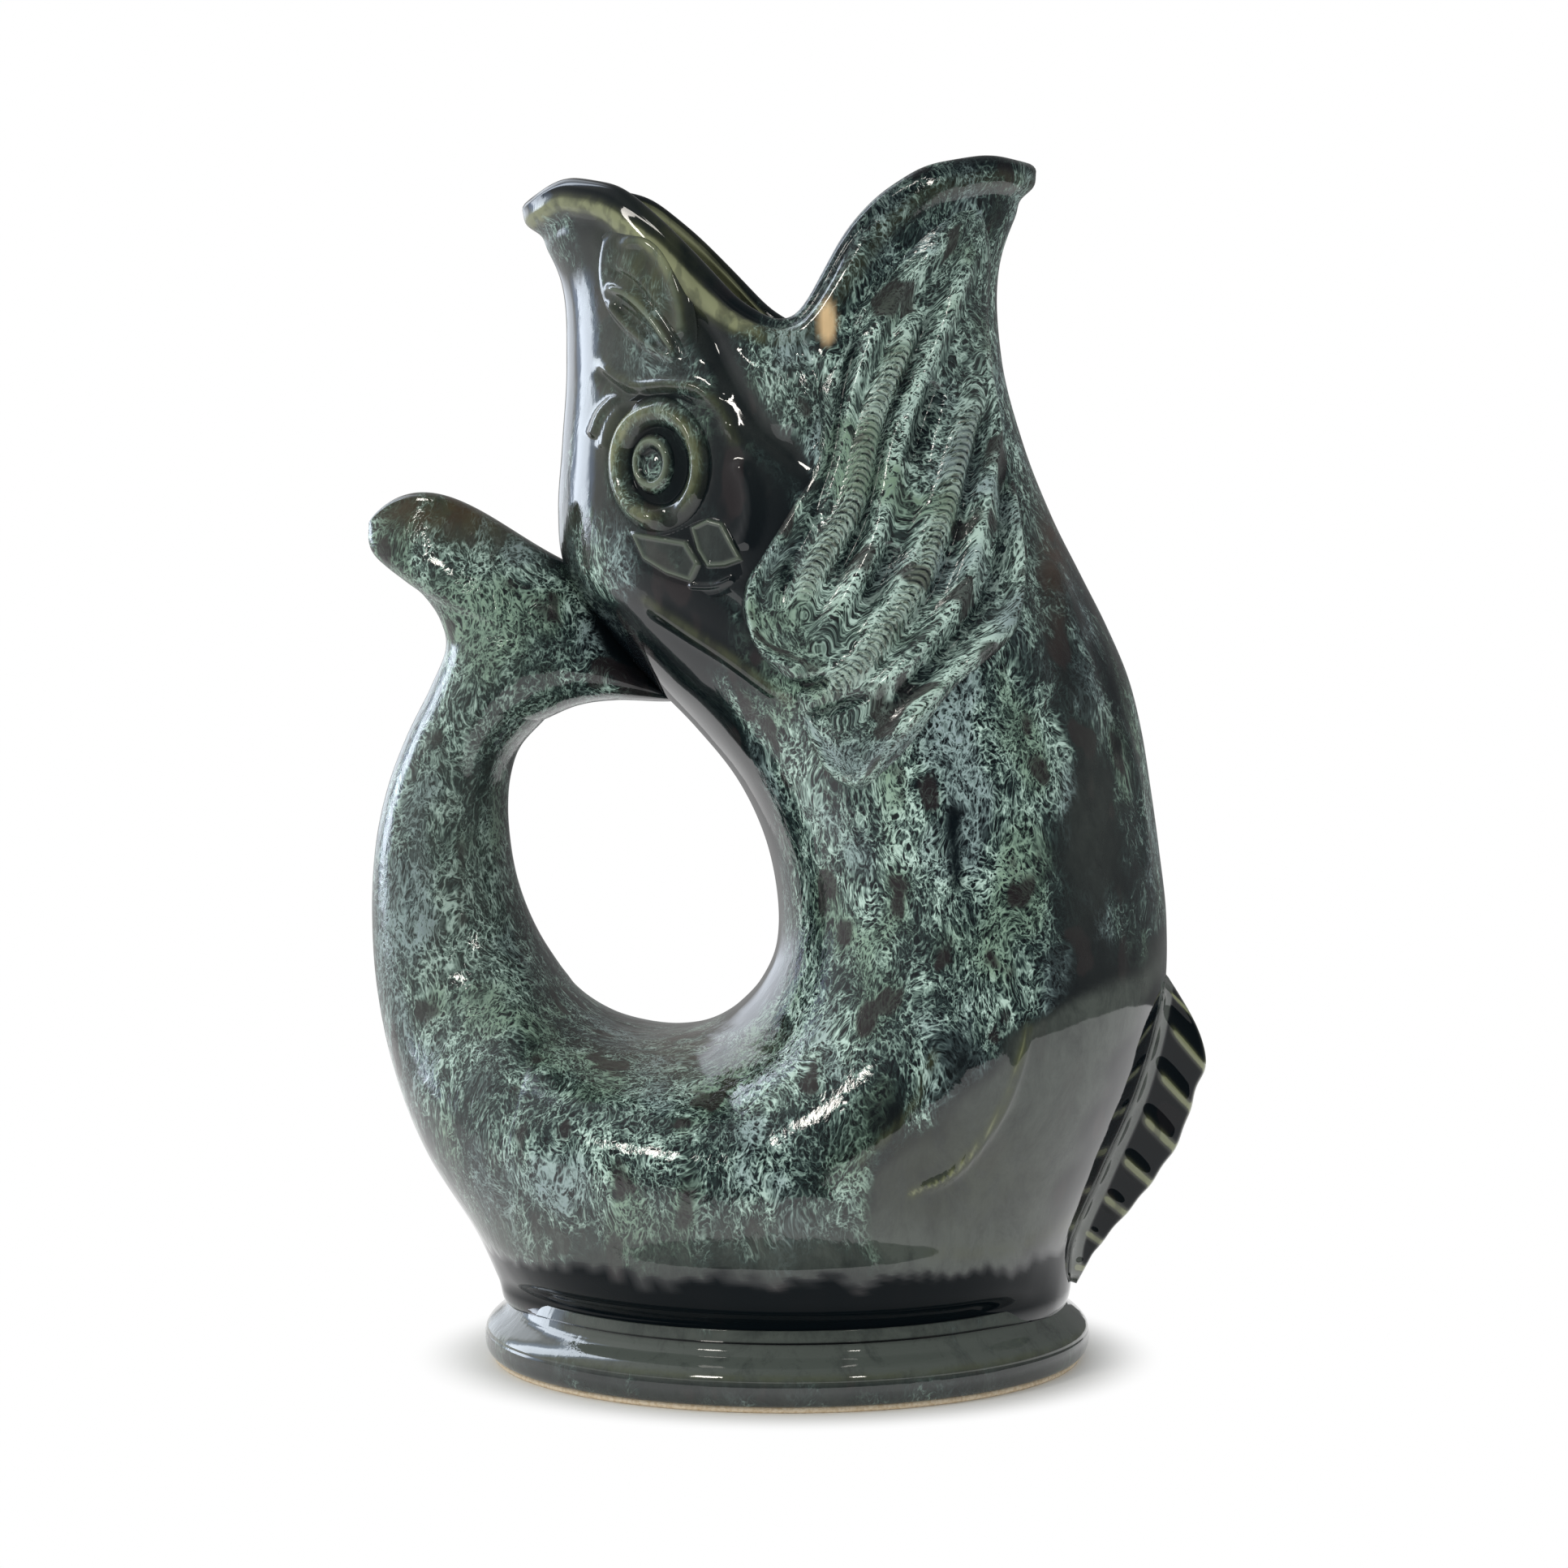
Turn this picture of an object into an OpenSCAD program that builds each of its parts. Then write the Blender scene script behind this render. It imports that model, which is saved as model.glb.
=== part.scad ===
// Gurgle jug: a hollow glazed fish that stands on its belly and is lifted by its tail.
// X runs from the tail to the pouring jaw, Y across the jug and Z up.
// The origin is on the table, under the middle of the foot.

/* [Overall] */
// Height from the table to the tip of the pouring jaw
jug_height = 240; // [200:1:280]
// Length from the tip of the tail to the edge of the belly fin
jug_length = 169; // [150:1:190]
// Width of the belly, from side to side
belly_width = 120; // [110:1:130]
// Thickness of the fired clay wall
wall = 4.5; // [3:0.1:6]

/* [Mouth] */
// How far the rolled lip rises above the wall it finishes
lip_rise = 1.8; // [1:0.1:2.4]
// How far the notch between the jaws sinks below the line of the two tips
notch_depth = 28; // [18:1:32]

/* [Foot] */
// Height of the foot, from the table to the waist above it
foot_height = 11.5; // [9:0.5:15]
// Diameter of the waist, where the body stands on the foot
waist_diameter = 112.6; // [104:0.2:118]
// Diameter of the foot's flange at its widest
flange_diameter = 121.8; // [119:0.2:130]
// Height of the flange's widest line above the table
flange_level = 4.6; // [3:0.1:5.5]
// Height of the unglazed clay rim
bare_height = 1.2; // [0.8:0.1:2]
// How far the foot's ring reaches in under the body, from the waist
foot_ledge = 7.2; // [5:0.2:12]
// Width of the foot's underside, in from the flange's widest line
foot_underside = 11.8; // [8:0.2:15]
// How far the unglazed rim lies inside the flange's widest line
bare_inset = 1.8; // [1:0.1:3]

/* [Tail] */
// How far the fluke's upper edge arches above a straight line
fluke_arch = 6.6; // [3:0.1:8]

/* [Belly fin] */
// Length of the longest fin ray, from the belly to the fin's edge
fin_length = 13.2; // [9:0.1:18]
// Angle by which the first rays lean down from square
fin_sweep = 42; // [20:1:50]
// Thickness of the fin at its root
fin_root_thickness = 6.4; // [4:0.1:9]
// Thickness of the fin at its edge
fin_edge_thickness = 2.6; // [1.6:0.1:4]
// Number of raised rays
fin_rays = 8; // [5:1:10]
// Height of a ray above the web between the rays
fin_ray_rise = 0.7; // [0.3:0.1:1.2]

/* [Eyes] */
// Width of the raised ring round the eye
eye_width = 20; // [16:0.5:24]
// Height of the raised ring round the eye
eye_height = 25; // [20:0.5:28]
// Width of the ring's bead
eye_bead = 4.2; // [3:0.1:5]
// How far the ring stands out from the head
eye_rise = 2.2; // [1.2:0.1:3]
// Width of the pupil
pupil_width = 8.6; // [6:0.2:9.6]
// Height of the pupil
pupil_height = 13; // [9:0.2:14]
// How far the pupil stands out from the head
pupil_rise = 1.6; // [1:0.1:2.4]

/* [Head moulding] */
// How far the gill covers stand out from the body
gill_rise = 2.2; // [1.2:0.1:3]
// How far the snout leaves stand out from the upper jaw
snout_rise = 1.5; // [0.8:0.1:2]
// How far the cheek plates stand out from the head
cheek_rise = 1.3; // [0.8:0.1:2]
// Clay seam between a moulded detail and the wall behind it
seam = 0.3; // [0.2:0.05:0.4]

/* [Hidden] */

glaze_green = "#27463f";
glaze_mint = "#5e9a86";
glaze_olive = "#4d5c3c";
glaze_navy = "#20242e";
bare_clay = "#e2d3bd";

half_length = jug_length / 2;
half_width = belly_width / 2;
body_rise = jug_height - foot_height;
waist_r = waist_diameter / 2;
flange_r = flange_diameter / 2;
bare_r = flange_r - bare_inset;
foot_inner_r = waist_r - foot_ledge;
rim_inner_r = flange_r - foot_underside;

// Stations of the body, from the mouth down to the waist, under the finger hole and up the tail.
// Each row holds shares for: inner point x and z, outer point x and z, half width across the jug.
// The inner point lies on the upper jaw's back and the finger hole; the outer one on the other side.
head_shares = [
    [-0.626, 0.953, 0.582, 0.985, 0.50],
    [-0.536, 0.892, 0.500, 0.906, 0.55],
    [-0.522, 0.820, 0.504, 0.826, 0.59],
    [-0.532, 0.752, 0.555, 0.752, 0.63],
    [-0.542, 0.692, 0.621, 0.690, 0.67],
    [-0.525, 0.643, 0.690, 0.639, 0.70],
    [-0.441, 0.597, 0.752, 0.594, 0.73],
    [-0.334, 0.550, 0.804, 0.549, 0.75],
    [-0.216, 0.506, 0.836, 0.503, 0.76],
    [-0.116, 0.461, 0.858, 0.454, 0.78],
    [-0.050, 0.411, 0.880, 0.397, 0.80],
    [-0.019, 0.359, 0.898, 0.336, 0.83],
    [-0.021, 0.316, 0.892, 0.268, 0.87],
    [-0.058, 0.284, 0.841, 0.193, 0.91],
    [-0.111, 0.262, 0.759, 0.121, 0.95],
    [-0.164, 0.248, 0.688, 0.058, 0.98]];
// Inner points over the flat floor, whose outer points lie on the waist circle, and half widths
floor_shares = [
    [-0.217, 0.240, 0.99],
    [-0.270, 0.236, 1],
    [-0.324, 0.235, 1],
    [-0.378, 0.238, 0.98],
    [-0.431, 0.245, 0.94],
    [-0.482, 0.257, 0.87],
    [-0.528, 0.273, 0.77]];
tail_shares = [
    [-0.550, 0.284, -0.692, 0.024, 0.71],
    [-0.569, 0.295, -0.750, 0.068, 0.635],
    [-0.604, 0.319, -0.862, 0.131, 0.50],
    [-0.633, 0.345, -0.940, 0.198, 0.39],
    [-0.655, 0.372, -0.983, 0.268, 0.335],
    [-0.668, 0.401, -0.996, 0.336, 0.30],
    [-0.673, 0.431, -0.987, 0.397, 0.28],
    [-0.666, 0.459, -0.957, 0.449, 0.265],
    [-0.641, 0.485, -0.911, 0.494, 0.255],
    [-0.582, 0.509, -0.858, 0.533, 0.25]];
// Swell of the belly above the waist, and how far it takes over from the rows: height, share
belly_swell_shares = [[0, 0], [0.03, 0.5], [0.07, 0.85], [0.12, 1], [0.18, 1], [0.24, 0.9]];
belly_weight_shares = [[0.06, 1], [0.10, 0.96], [0.14, 0.8], [0.18, 0.45], [0.21, 0.2], [0.24, 0.04],
    [0.26, 0]];
// The fluke's two free rows, then the outer ends and half widths of the rows that rest on the head
fluke_free_shares = [
    [-0.497, 0.522, -0.816, 0.571, 0.25],
    [-0.400, 0.527, -0.829, 0.597, 0.25]];
fluke_rest_shares = [
    [-0.871, 0.619, 0.24],
    [-0.914, 0.631, 0.23],
    [-0.955, 0.642, 0.21],
    [-0.988, 0.653, 0.18],
    [-1.006, 0.665, 0.13],
    [-1.006, 0.681, 0.07]];

// Rolled lip from the inner wall to the outer one: share of the wall, share of the rise
lip_shares = [[0.7, 0.75], [0.5, 1], [0.3, 0.75]];
// Depth of the rim's dip below the line between the tips: place along that line, share of the notch
dip_shares = [[-1, 0], [-0.82, -0.13], [-0.6, -0.03], [-0.42, 0.25], [-0.26, 0.55], [-0.12, 0.83],
    [0.03, 1], [0.14, 1], [0.2, 0.9], [0.27, 0.66], [0.35, 0.4], [0.47, 0.18], [0.64, 0],
    [0.88, -0.06], [1, 0]];

// Belly fin, ray by ray from the top: row of the body, share of the length, share of the sweep
fin_shares = [
    [11.7, 0.06, 1],
    [12, 1, 1],
    [12.6, 0.97, 0.8],
    [13.2, 0.93, 0.6],
    [13.8, 0.78, 0.48],
    [14.4, 0.58, 0.4],
    [15, 0.38, 0.5],
    [15.6, 0.1, 0.5]];
// Across the fin from root to edge: place, share of a ray's rise
fin_across_shares = [[0, 0], [0.14, 0.6], [0.5, 1], [0.84, 1], [1, 0.2]];

// Outlines of the moulded details on the head, as shares of half the length and of the body's rise
gill_shares = [[0.330, 0.836], [0.470, 0.800], [0.561, 0.722], [0.595, 0.648], [0.570, 0.575],
    [0.458, 0.514], [0.330, 0.486], [0.224, 0.460], [0.128, 0.489], [0.082, 0.526], [0.046, 0.560],
    [-0.034, 0.587], [-0.028, 0.628], [0.042, 0.675], [0.119, 0.742], [0.183, 0.812]];
gill_middle_shares = [0.30, 0.66];
snout_shares = [[-0.385, 0.918], [-0.314, 0.925], [-0.248, 0.905], [-0.205, 0.870], [-0.214, 0.832],
    [-0.275, 0.842], [-0.345, 0.868], [-0.382, 0.893]];
snout_middle_shares = [-0.290, 0.880];
cheek_shares = [[-0.318, 0.664], [-0.215, 0.667], [-0.110, 0.676], [-0.050, 0.700], [-0.048, 0.654],
    [-0.088, 0.623], [-0.194, 0.627], [-0.268, 0.643]];
cheek_middle_shares = [-0.160, 0.652];
eye_middle_shares = [-0.262, 0.733];
pupil_middle_shares = [-0.275, 0.736];

// Profiles of the details from middle to edge: place, share of the rise
dome_shares = [[0.2, 1], [0.4, 0.99], [0.6, 0.96], [0.8, 0.84], [0.93, 0.6], [1, 0.25]];
bead_shares = [[0, 0.25], [0.2, 0.8], [0.5, 1], [0.8, 0.8], [1, 0.25]];

head_rows = len(head_shares);
floor_start = head_rows;
floor_end = head_rows + len(floor_shares) - 1;
// Row where the tail is luted to the body, and the row where the hollow handle ends
join_row = floor_end + 3;
last_row = floor_end + len(tail_shares);
// Rows over which the rim's dip fades out, and how much leaner than an ellipse the mouth is
dip_rows = 2.5;
dip_power = 1.3;
lean_rows = 3;
lean_share = 0.05;
round_share = 0.5;
// Rows over which the inner wall turns from square to the floor to along its row
corner_rows = 2;
// Rows above the waist that the belly's front and back outlines run over
belly_rows = 5;
// Lowest row that the details on the side reach, and how often a row is halved to find a point
side_rows = head_rows - 2;
halvings = 16;
// Share of a row from one ring of points to the next
ring_share = 0.5;
sides = 14;
// Points closer than this share of the wall are one corner
same_share = 0.0001;
// Rows down the head to the lowest that the fluke rests on, how blunt the fluke is there and how its arch leans out
rest_rows = 7.5;
blunt_share = 0.2;
arch_lean_share = 0.9;
// Angle between the rows of the head and its back, where the fluke rests
back_angle = 45;
// Slices of the fin from one raised ray to the next
ray_slices = 4;
bare_chamfer = bare_height / 3;
foot_steps = 10;
foot_sides = 96;
nose_angle = 15;
eye_steps = 28;
pupil_steps = 20;
gill_steps = 2;
leaf_steps = 3;

function place(x, z) = [x * half_length, foot_height + z * body_rise];

// Angle round the waist circle of a row over the floor, from 0 at the front to 180 at the tail
function floor_angle(u) = 180 * (u - floor_start) / (floor_end - floor_start);
function over_floor(u) = u > floor_start && u < floor_end;

function full_row(s) = concat(place(s[0], s[1]), place(s[2], s[3]), s[4] * half_width);
function floor_row(k) = concat(place(floor_shares[k][0], floor_shares[k][1]),
    waist_r * cos(floor_angle(floor_start + k)), foot_height, floor_shares[k][2] * half_width);
rows = concat(
    [for (s = head_shares) full_row(s)],
    [for (k = [0 : len(floor_shares) - 1]) floor_row(k)],
    [for (s = tail_shares) full_row(s)]);

// A smooth curve through the rows of a table
function row_at(tab, k) = k < 0 ? 2 * tab[0] - tab[1]
    : k >= len(tab) ? 2 * tab[len(tab) - 1] - tab[len(tab) - 2] : tab[k];
function curve(tab, u) = let(
    k = min(floor(u), len(tab) - 2),
    t = u - k,
    a = row_at(tab, k - 1),
    b = row_at(tab, k),
    c = row_at(tab, k + 1),
    d = row_at(tab, k + 2))
    (2 * b + (c - a) * t + (2 * a - 5 * b + 4 * c - d) * t * t + (3 * b - a - 3 * c + d) * t * t * t) / 2;

function unit(v) = v / norm(v);
function inner_end(r) = [r[0], r[1]];
function outer_end(r) = [r[2], r[3]];

// Outer end of a row, drawn in by t: along the row, but square to floor and wall near the waist
function outer_point(u, r, t) = let(
    phi = floor_angle(u),
    front = u < (floor_start + floor_end) / 2,
    near = max(0, 1 - (front ? floor_start - u : u - floor_end) / corner_rows),
    along = unit(outer_end(r) - inner_end(r)),
    corner = [front ? 1 : -1, -1])
    over_floor(u) ? [(waist_r - t) * cos(phi), foot_height + t]
    : outer_end(r) - t * (near * corner + (1 - near) * along);

function dip(p, u) = notch_depth * lookup(p, dip_shares) * pow(max(0, 1 - u / dip_rows), dip_power);
function roundness(u) = round_share + lean_share * max(0, 1 - u / lean_rows);

// One row of the jug with its wall drawn in by t: inner and outer ends, half width, floor half width, t
function drawn_row(u, t) = let(
    r = curve(rows, u),
    along = unit(outer_end(r) - inner_end(r)),
    i = inner_end(r) + t * along,
    o = outer_point(u, r, t),
    f = over_floor(u) ? (waist_r - t) * sin(floor_angle(u)) : 0)
    [i, o, r[4] - t, f, t];

function row_point(row, p, u) = let(q = (row[0] * (1 - p) + row[1] * (1 + p)) / 2)
    [q[0], q[1] - dip(p, u)];

// The belly's own shape seen from above at one height: an oval between the front and back outlines
function height_and_x(u) = let(r = curve(rows, u)) [r[3], r[2]];
belly_front = [for (k = [0 : ring_share / 2 : belly_rows]) height_and_x(floor_start - k)];
belly_back = [for (k = [0 : ring_share / 2 : belly_rows]) height_and_x(floor_end + k)];
function belly_half_width(q, t) = let(
    front = lookup(q[1], belly_front) - t,
    back = lookup(q[1], belly_back) + t,
    e = (2 * q[0] - front - back) / (front - back),
    swell = lookup((q[1] - foot_height) / body_rise, belly_swell_shares),
    widest = waist_r + (half_width - waist_r) * swell)
    (widest - t) * sqrt(max(0, 1 - e * e));
// How far the belly's own shape takes over from the rows, from the hole down to the waist
function belly_weight(z) = lookup((z - foot_height) / body_rise, belly_weight_shares);

// Half width at place p along a row, from -1 at its inner end to 1 at its outer end
function half_width_at(row, p, u) = p <= -1 || (p >= 1 && !over_floor(u)) ? 0 : let(
    across = row[2] * pow(1 - p * p, roundness(u)),
    flat = p > 0 ? row[3] * p : 0,
    tube = sqrt(across * across + flat * flat),
    q = row_point(row, p, u),
    w = belly_weight(q[1]))
    w <= 0 ? tube : (1 - w) * tube + w * belly_half_width(q, row[4]);

// A closed ring of points round the jug at row u, with its wall drawn in by t
function ring(u, t = 0, lift = 0) = let(row = drawn_row(u, t)) concat(
    [for (j = [0 : sides]) let(q = row_point(row, cos(180 * j / sides), u))
        [q[0], -half_width_at(row, cos(180 * j / sides), u), q[1] + lift]],
    [for (j = [sides : -1 : 0]) let(q = row_point(row, cos(180 * j / sides), u))
        [q[0], half_width_at(row, cos(180 * j / sides), u), q[1] + lift]]);

// Distinct corners only, so that no face is a sliver
function same(a, b) = norm(a - b) < same_share * wall;
function sound(pts, f) = !same(pts[f[0]], pts[f[1]]) && !same(pts[f[1]], pts[f[2]])
    && !same(pts[f[2]], pts[f[0]]);
function middle(pts) = [for (k = [0 : 2]) (min([for (q = pts) q[k]]) + max([for (q = pts) q[k]])) / 2];

// A skin over a list of rings: looped back on itself, or closed by a fan at each end
module skin(rings, looped = false) {
    n = len(rings[0]);
    m = len(rings);
    pts = concat([for (r = rings) each r], [middle(rings[0]), middle(rings[m - 1])]);
    spans = looped ? m : m - 1;
    quads = [for (k = [0 : spans - 1]) for (j = [0 : n - 1]) let(
        a = k * n + j,
        b = k * n + (j + 1) % n,
        c = ((k + 1) % m) * n + (j + 1) % n,
        d = ((k + 1) % m) * n + j) each [[a, c, b], [a, d, c]]];
    fans = looped ? [] : [for (j = [0 : n - 1]) each [
        [m * n, j, (j + 1) % n],
        [m * n + 1, (m - 1) * n + (j + 1) % n, (m - 1) * n + j]]];
    polyhedron(points = pts, faces = [for (f = concat(quads, fans)) if (sound(pts, f)) f], convexity = 8);
}

module body_shell() {
    color(glaze_green) skin(concat(
        [for (u = [0 : ring_share : join_row]) ring(u)],
        [for (u = [join_row : -ring_share : 0]) ring(u, wall)],
        [for (s = lip_shares) ring(0, s[0] * wall, s[1] * lip_rise)]),
        looped = true);
}

// Hollow up to one row short of its top, where the air is trapped that makes the jug gurgle
module tail_handle() {
    color(glaze_green) skin(concat(
        [for (u = [last_row - 1 : -ring_share : join_row]) ring(u, wall)],
        [for (u = [join_row : ring_share : last_row]) ring(u)]));
}

// Power that rounds the fluke's section at place p: an ellipse outside, blunter beside the head
function fluke_roundness(p, blunt) = p < 0 ? round_share - blunt : round_share;
function fluke_arc(p) = (1 - p * p) * (1 + arch_lean_share * p);

// A ring of the fluke between inner end i and outer end o
function fluke_ring(i, o, b, blunt, rise) = let(
    near = [for (j = [0 : sides]) let(
        p = cos(180 * j / sides),
        q = (i * (1 - p) + o * (1 + p)) / 2,
        s2 = max(0, 1 - p * p))
        [q[0], -b * (s2 <= 0 ? 0 : pow(s2, fluke_roundness(p, blunt))), q[1] + rise * fluke_arc(p)]])
    concat(near, [for (j = [sides : -1 : 0]) [near[j][0], -near[j][1], near[j][2]]]);

// The point on the back of the head that a row of the fluke rests on, one seam clear of it
function head_back(u) = let(r = drawn_row(u, 0)) r[0] - seam / sin(back_angle) * unit(r[1] - r[0]);

module tail_fluke() {
    rests = len(fluke_rest_shares);
    free = len(fluke_free_shares);
    color(glaze_green) skin(concat(
        [ring(last_row)],
        [for (k = [0 : free - 1]) let(s = fluke_free_shares[k])
            fluke_ring(place(s[0], s[1]), place(s[2], s[3]), s[4] * half_width,
                blunt_share * (k + 1) / (free + 1), 0)],
        [for (k = [0 : rests - 1]) let(s = fluke_rest_shares[k])
            fluke_ring(head_back(rest_rows - k * ring_share), place(s[0], s[1]), s[2] * half_width,
                blunt_share, fluke_arch * pow(k / (rests - 1), 2))]));
}

// Outer edge of the belly at row u, one seam clear of it, and the direction square to it
function belly_edge(u) = outer_end(curve(rows, u));
function belly_out(u) = let(t = unit(belly_edge(u + ring_share / 4) - belly_edge(u - ring_share / 4)))
    [-t[1], t[0]];
function turned(v, a) = [v[0] * cos(a) + v[1] * sin(a), v[1] * cos(a) - v[0] * sin(a)];

// One slice of the fin along a ray; crest is 1 on a raised ray and 0 on the web between two
function fin_ring(s, crest) = let(
    root = belly_edge(s[0]) + seam * belly_out(s[0]),
    ray = fin_length * s[1] * turned(belly_out(s[0]), fin_sweep * s[2]),
    near = [for (a = fin_across_shares) let(
        q = root + ray * a[0],
        half = (fin_root_thickness * (1 - a[0]) + fin_edge_thickness * a[0]) / 2)
        [q[0], -half - fin_ray_rise * crest * a[1], q[1]]])
    concat(near, [for (j = [len(near) - 1 : -1 : 0]) [near[j][0], -near[j][1], near[j][2]]]);

module ventral_fin() {
    slices = fin_rays * ray_slices;
    color(glaze_navy) skin([for (k = [slices : -1 : 0]) fin_ring(
        curve(fin_shares, (len(fin_shares) - 1) * k / slices),
        (1 - cos(360 * k / ray_slices)) / 2)]);
}

module foot_ring() {
    color(glaze_green) rotate_extrude($fn = foot_sides) polygon(concat(
        [[rim_inner_r, bare_height]],
        [for (a = [-90 : nose_angle : 0]) [bare_r + bare_inset * cos(a),
            flange_level + (flange_level - bare_height) * sin(a)]],
        [for (k = [1 : foot_steps]) [waist_r + (flange_r - waist_r) * (1 + cos(180 * k / foot_steps)) / 2,
            flange_level + (foot_height - flange_level) * k / foot_steps]],
        [[foot_inner_r, foot_height]]));
}

module bare_foot_rim() {
    color(bare_clay) rotate_extrude($fn = foot_sides) polygon([
        [rim_inner_r, 0],
        [bare_r - bare_chamfer, 0],
        [bare_r, bare_chamfer],
        [bare_r, bare_height],
        [rim_inner_r, bare_height]]);
}

// The row whose line passes through x and z on the side of the body, found by halving
function place_along(row, x) = max(-1, min(1, (2 * x - row[0][0] - row[1][0]) / (row[1][0] - row[0][0])));
function side_row(x, z, lo, hi, n) = let(
    u = (lo + hi) / 2,
    row = drawn_row(u, 0))
    n == 0 ? u
    : row_point(row, place_along(row, x), u)[1] > z ? side_row(x, z, u, hi, n - 1)
    : side_row(x, z, lo, u, n - 1);
// A point of the body's right side, standing out by h
function on_side(q, h) = let(
    u = side_row(q[0], q[1], 0, side_rows, halvings),
    row = drawn_row(u, 0))
    [q[0], -half_width_at(row, place_along(row, q[0]), u) - h, q[1]];

function share_place(s) = place(s[0], s[1]);
// A smooth closed outline through hand-placed points
function outline(pts, steps) = let(n = len(pts), tab = concat([pts[n - 1]], pts, [pts[0], pts[1]]))
    [for (k = [0 : n * steps - 1]) curve(tab, 1 + k / steps)];
function oval(c, w, h, n) = [for (k = [0 : n - 1]) c + [w * cos(360 * k / n), -h * sin(360 * k / n)] / 2];

// A detail on the side: its edge drawn towards its middle, and raised by its profile
module plaque(edge, mid, profile, rise) {
    function level(r, h) = [for (e = edge) on_side(mid + r * (e - mid), h)];
    skin(concat(
        [for (s = profile) level(s[0], seam + rise * s[1])],
        [for (k = [len(profile) - 1 : -1 : 0]) level(profile[k][0], seam)]));
}

// A raised ring on the side, of width bead, inside an oval edge
module bead_ring(mid, w, h, bead, n, rise) {
    function inner_oval(d) = oval(mid, w - 2 * d, h - 2 * d, n);
    function level(t, lift) = [for (e = inner_oval(bead * (1 - t))) on_side(e, lift)];
    skin(concat(
        [for (s = bead_shares) level(s[0], seam + rise * s[1])],
        [for (t = [1, 0.5, 0]) level(t, seam)]), looped = true);
}

module gill_cover_right() {
    color(glaze_mint) plaque(outline([for (s = gill_shares) share_place(s)], gill_steps),
        share_place(gill_middle_shares), dome_shares, gill_rise);
}

module gill_cover_left() {
    mirror([0, 1, 0]) gill_cover_right();
}

module eye_ring_right() {
    color(glaze_olive) bead_ring(share_place(eye_middle_shares), eye_width, eye_height, eye_bead,
        eye_steps, eye_rise);
}

module eye_ring_left() {
    mirror([0, 1, 0]) eye_ring_right();
}

module eye_pupil_right() {
    color(glaze_olive) plaque(
        oval(share_place(pupil_middle_shares), pupil_width, pupil_height, pupil_steps),
        share_place(pupil_middle_shares), dome_shares, pupil_rise);
}

module eye_pupil_left() {
    mirror([0, 1, 0]) eye_pupil_right();
}

module snout_leaf_right() {
    color(glaze_navy) plaque(outline([for (s = snout_shares) share_place(s)], leaf_steps),
        share_place(snout_middle_shares), dome_shares, snout_rise);
}

module snout_leaf_left() {
    mirror([0, 1, 0]) snout_leaf_right();
}

module cheek_plate_right() {
    color(glaze_navy) plaque(outline([for (s = cheek_shares) share_place(s)], leaf_steps),
        share_place(cheek_middle_shares), dome_shares, cheek_rise);
}

module cheek_plate_left() {
    mirror([0, 1, 0]) cheek_plate_right();
}

body_shell();
tail_handle();
tail_fluke();
ventral_fin();
foot_ring();
bare_foot_rim();
gill_cover_right();
gill_cover_left();
eye_ring_right();
eye_ring_left();
eye_pupil_right();
eye_pupil_left();
snout_leaf_right();
snout_leaf_left();
cheek_plate_right();
cheek_plate_left();
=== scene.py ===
# Gurgle jug: a hollow glazed fish that stands on its belly and is lifted by its tail
import math

import bpy
import numpy as np
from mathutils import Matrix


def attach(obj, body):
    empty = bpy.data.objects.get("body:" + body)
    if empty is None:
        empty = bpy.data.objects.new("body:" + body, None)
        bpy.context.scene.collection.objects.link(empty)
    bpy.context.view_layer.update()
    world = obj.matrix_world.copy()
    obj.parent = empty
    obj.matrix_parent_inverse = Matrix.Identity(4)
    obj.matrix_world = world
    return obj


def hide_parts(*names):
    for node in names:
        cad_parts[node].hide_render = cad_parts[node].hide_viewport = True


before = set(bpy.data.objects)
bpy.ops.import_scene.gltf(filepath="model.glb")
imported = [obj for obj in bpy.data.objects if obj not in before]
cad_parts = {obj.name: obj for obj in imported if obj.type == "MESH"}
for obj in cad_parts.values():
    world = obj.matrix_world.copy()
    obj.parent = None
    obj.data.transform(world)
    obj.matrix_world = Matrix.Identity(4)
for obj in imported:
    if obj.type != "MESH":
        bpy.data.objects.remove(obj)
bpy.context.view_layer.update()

# Sizes are worked out in millimetres and turned to metres where a mesh is made

photo = {  # the camera that took the picture, and where its middle falls on a frame of 1932 pixels
    "pixels": 1932,
    "focal": 5612,       # pixels
    "distance": 910,     # mm from the foot's axis
    "height": 182,       # mm above the table
    "pitch": 4.2,        # degrees downwards
    "azimuth": 6,        # degrees round towards the spout
    "middle": (970, 966),
}

jug = {
    "height": 240,
    "length": 169,
    "width": 120,
    "footHeight": 11.5,
    "waist": 56.3,       # radius of the waist above the foot
    "wall": 4.5,
    "notch": 28,
}

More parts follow.
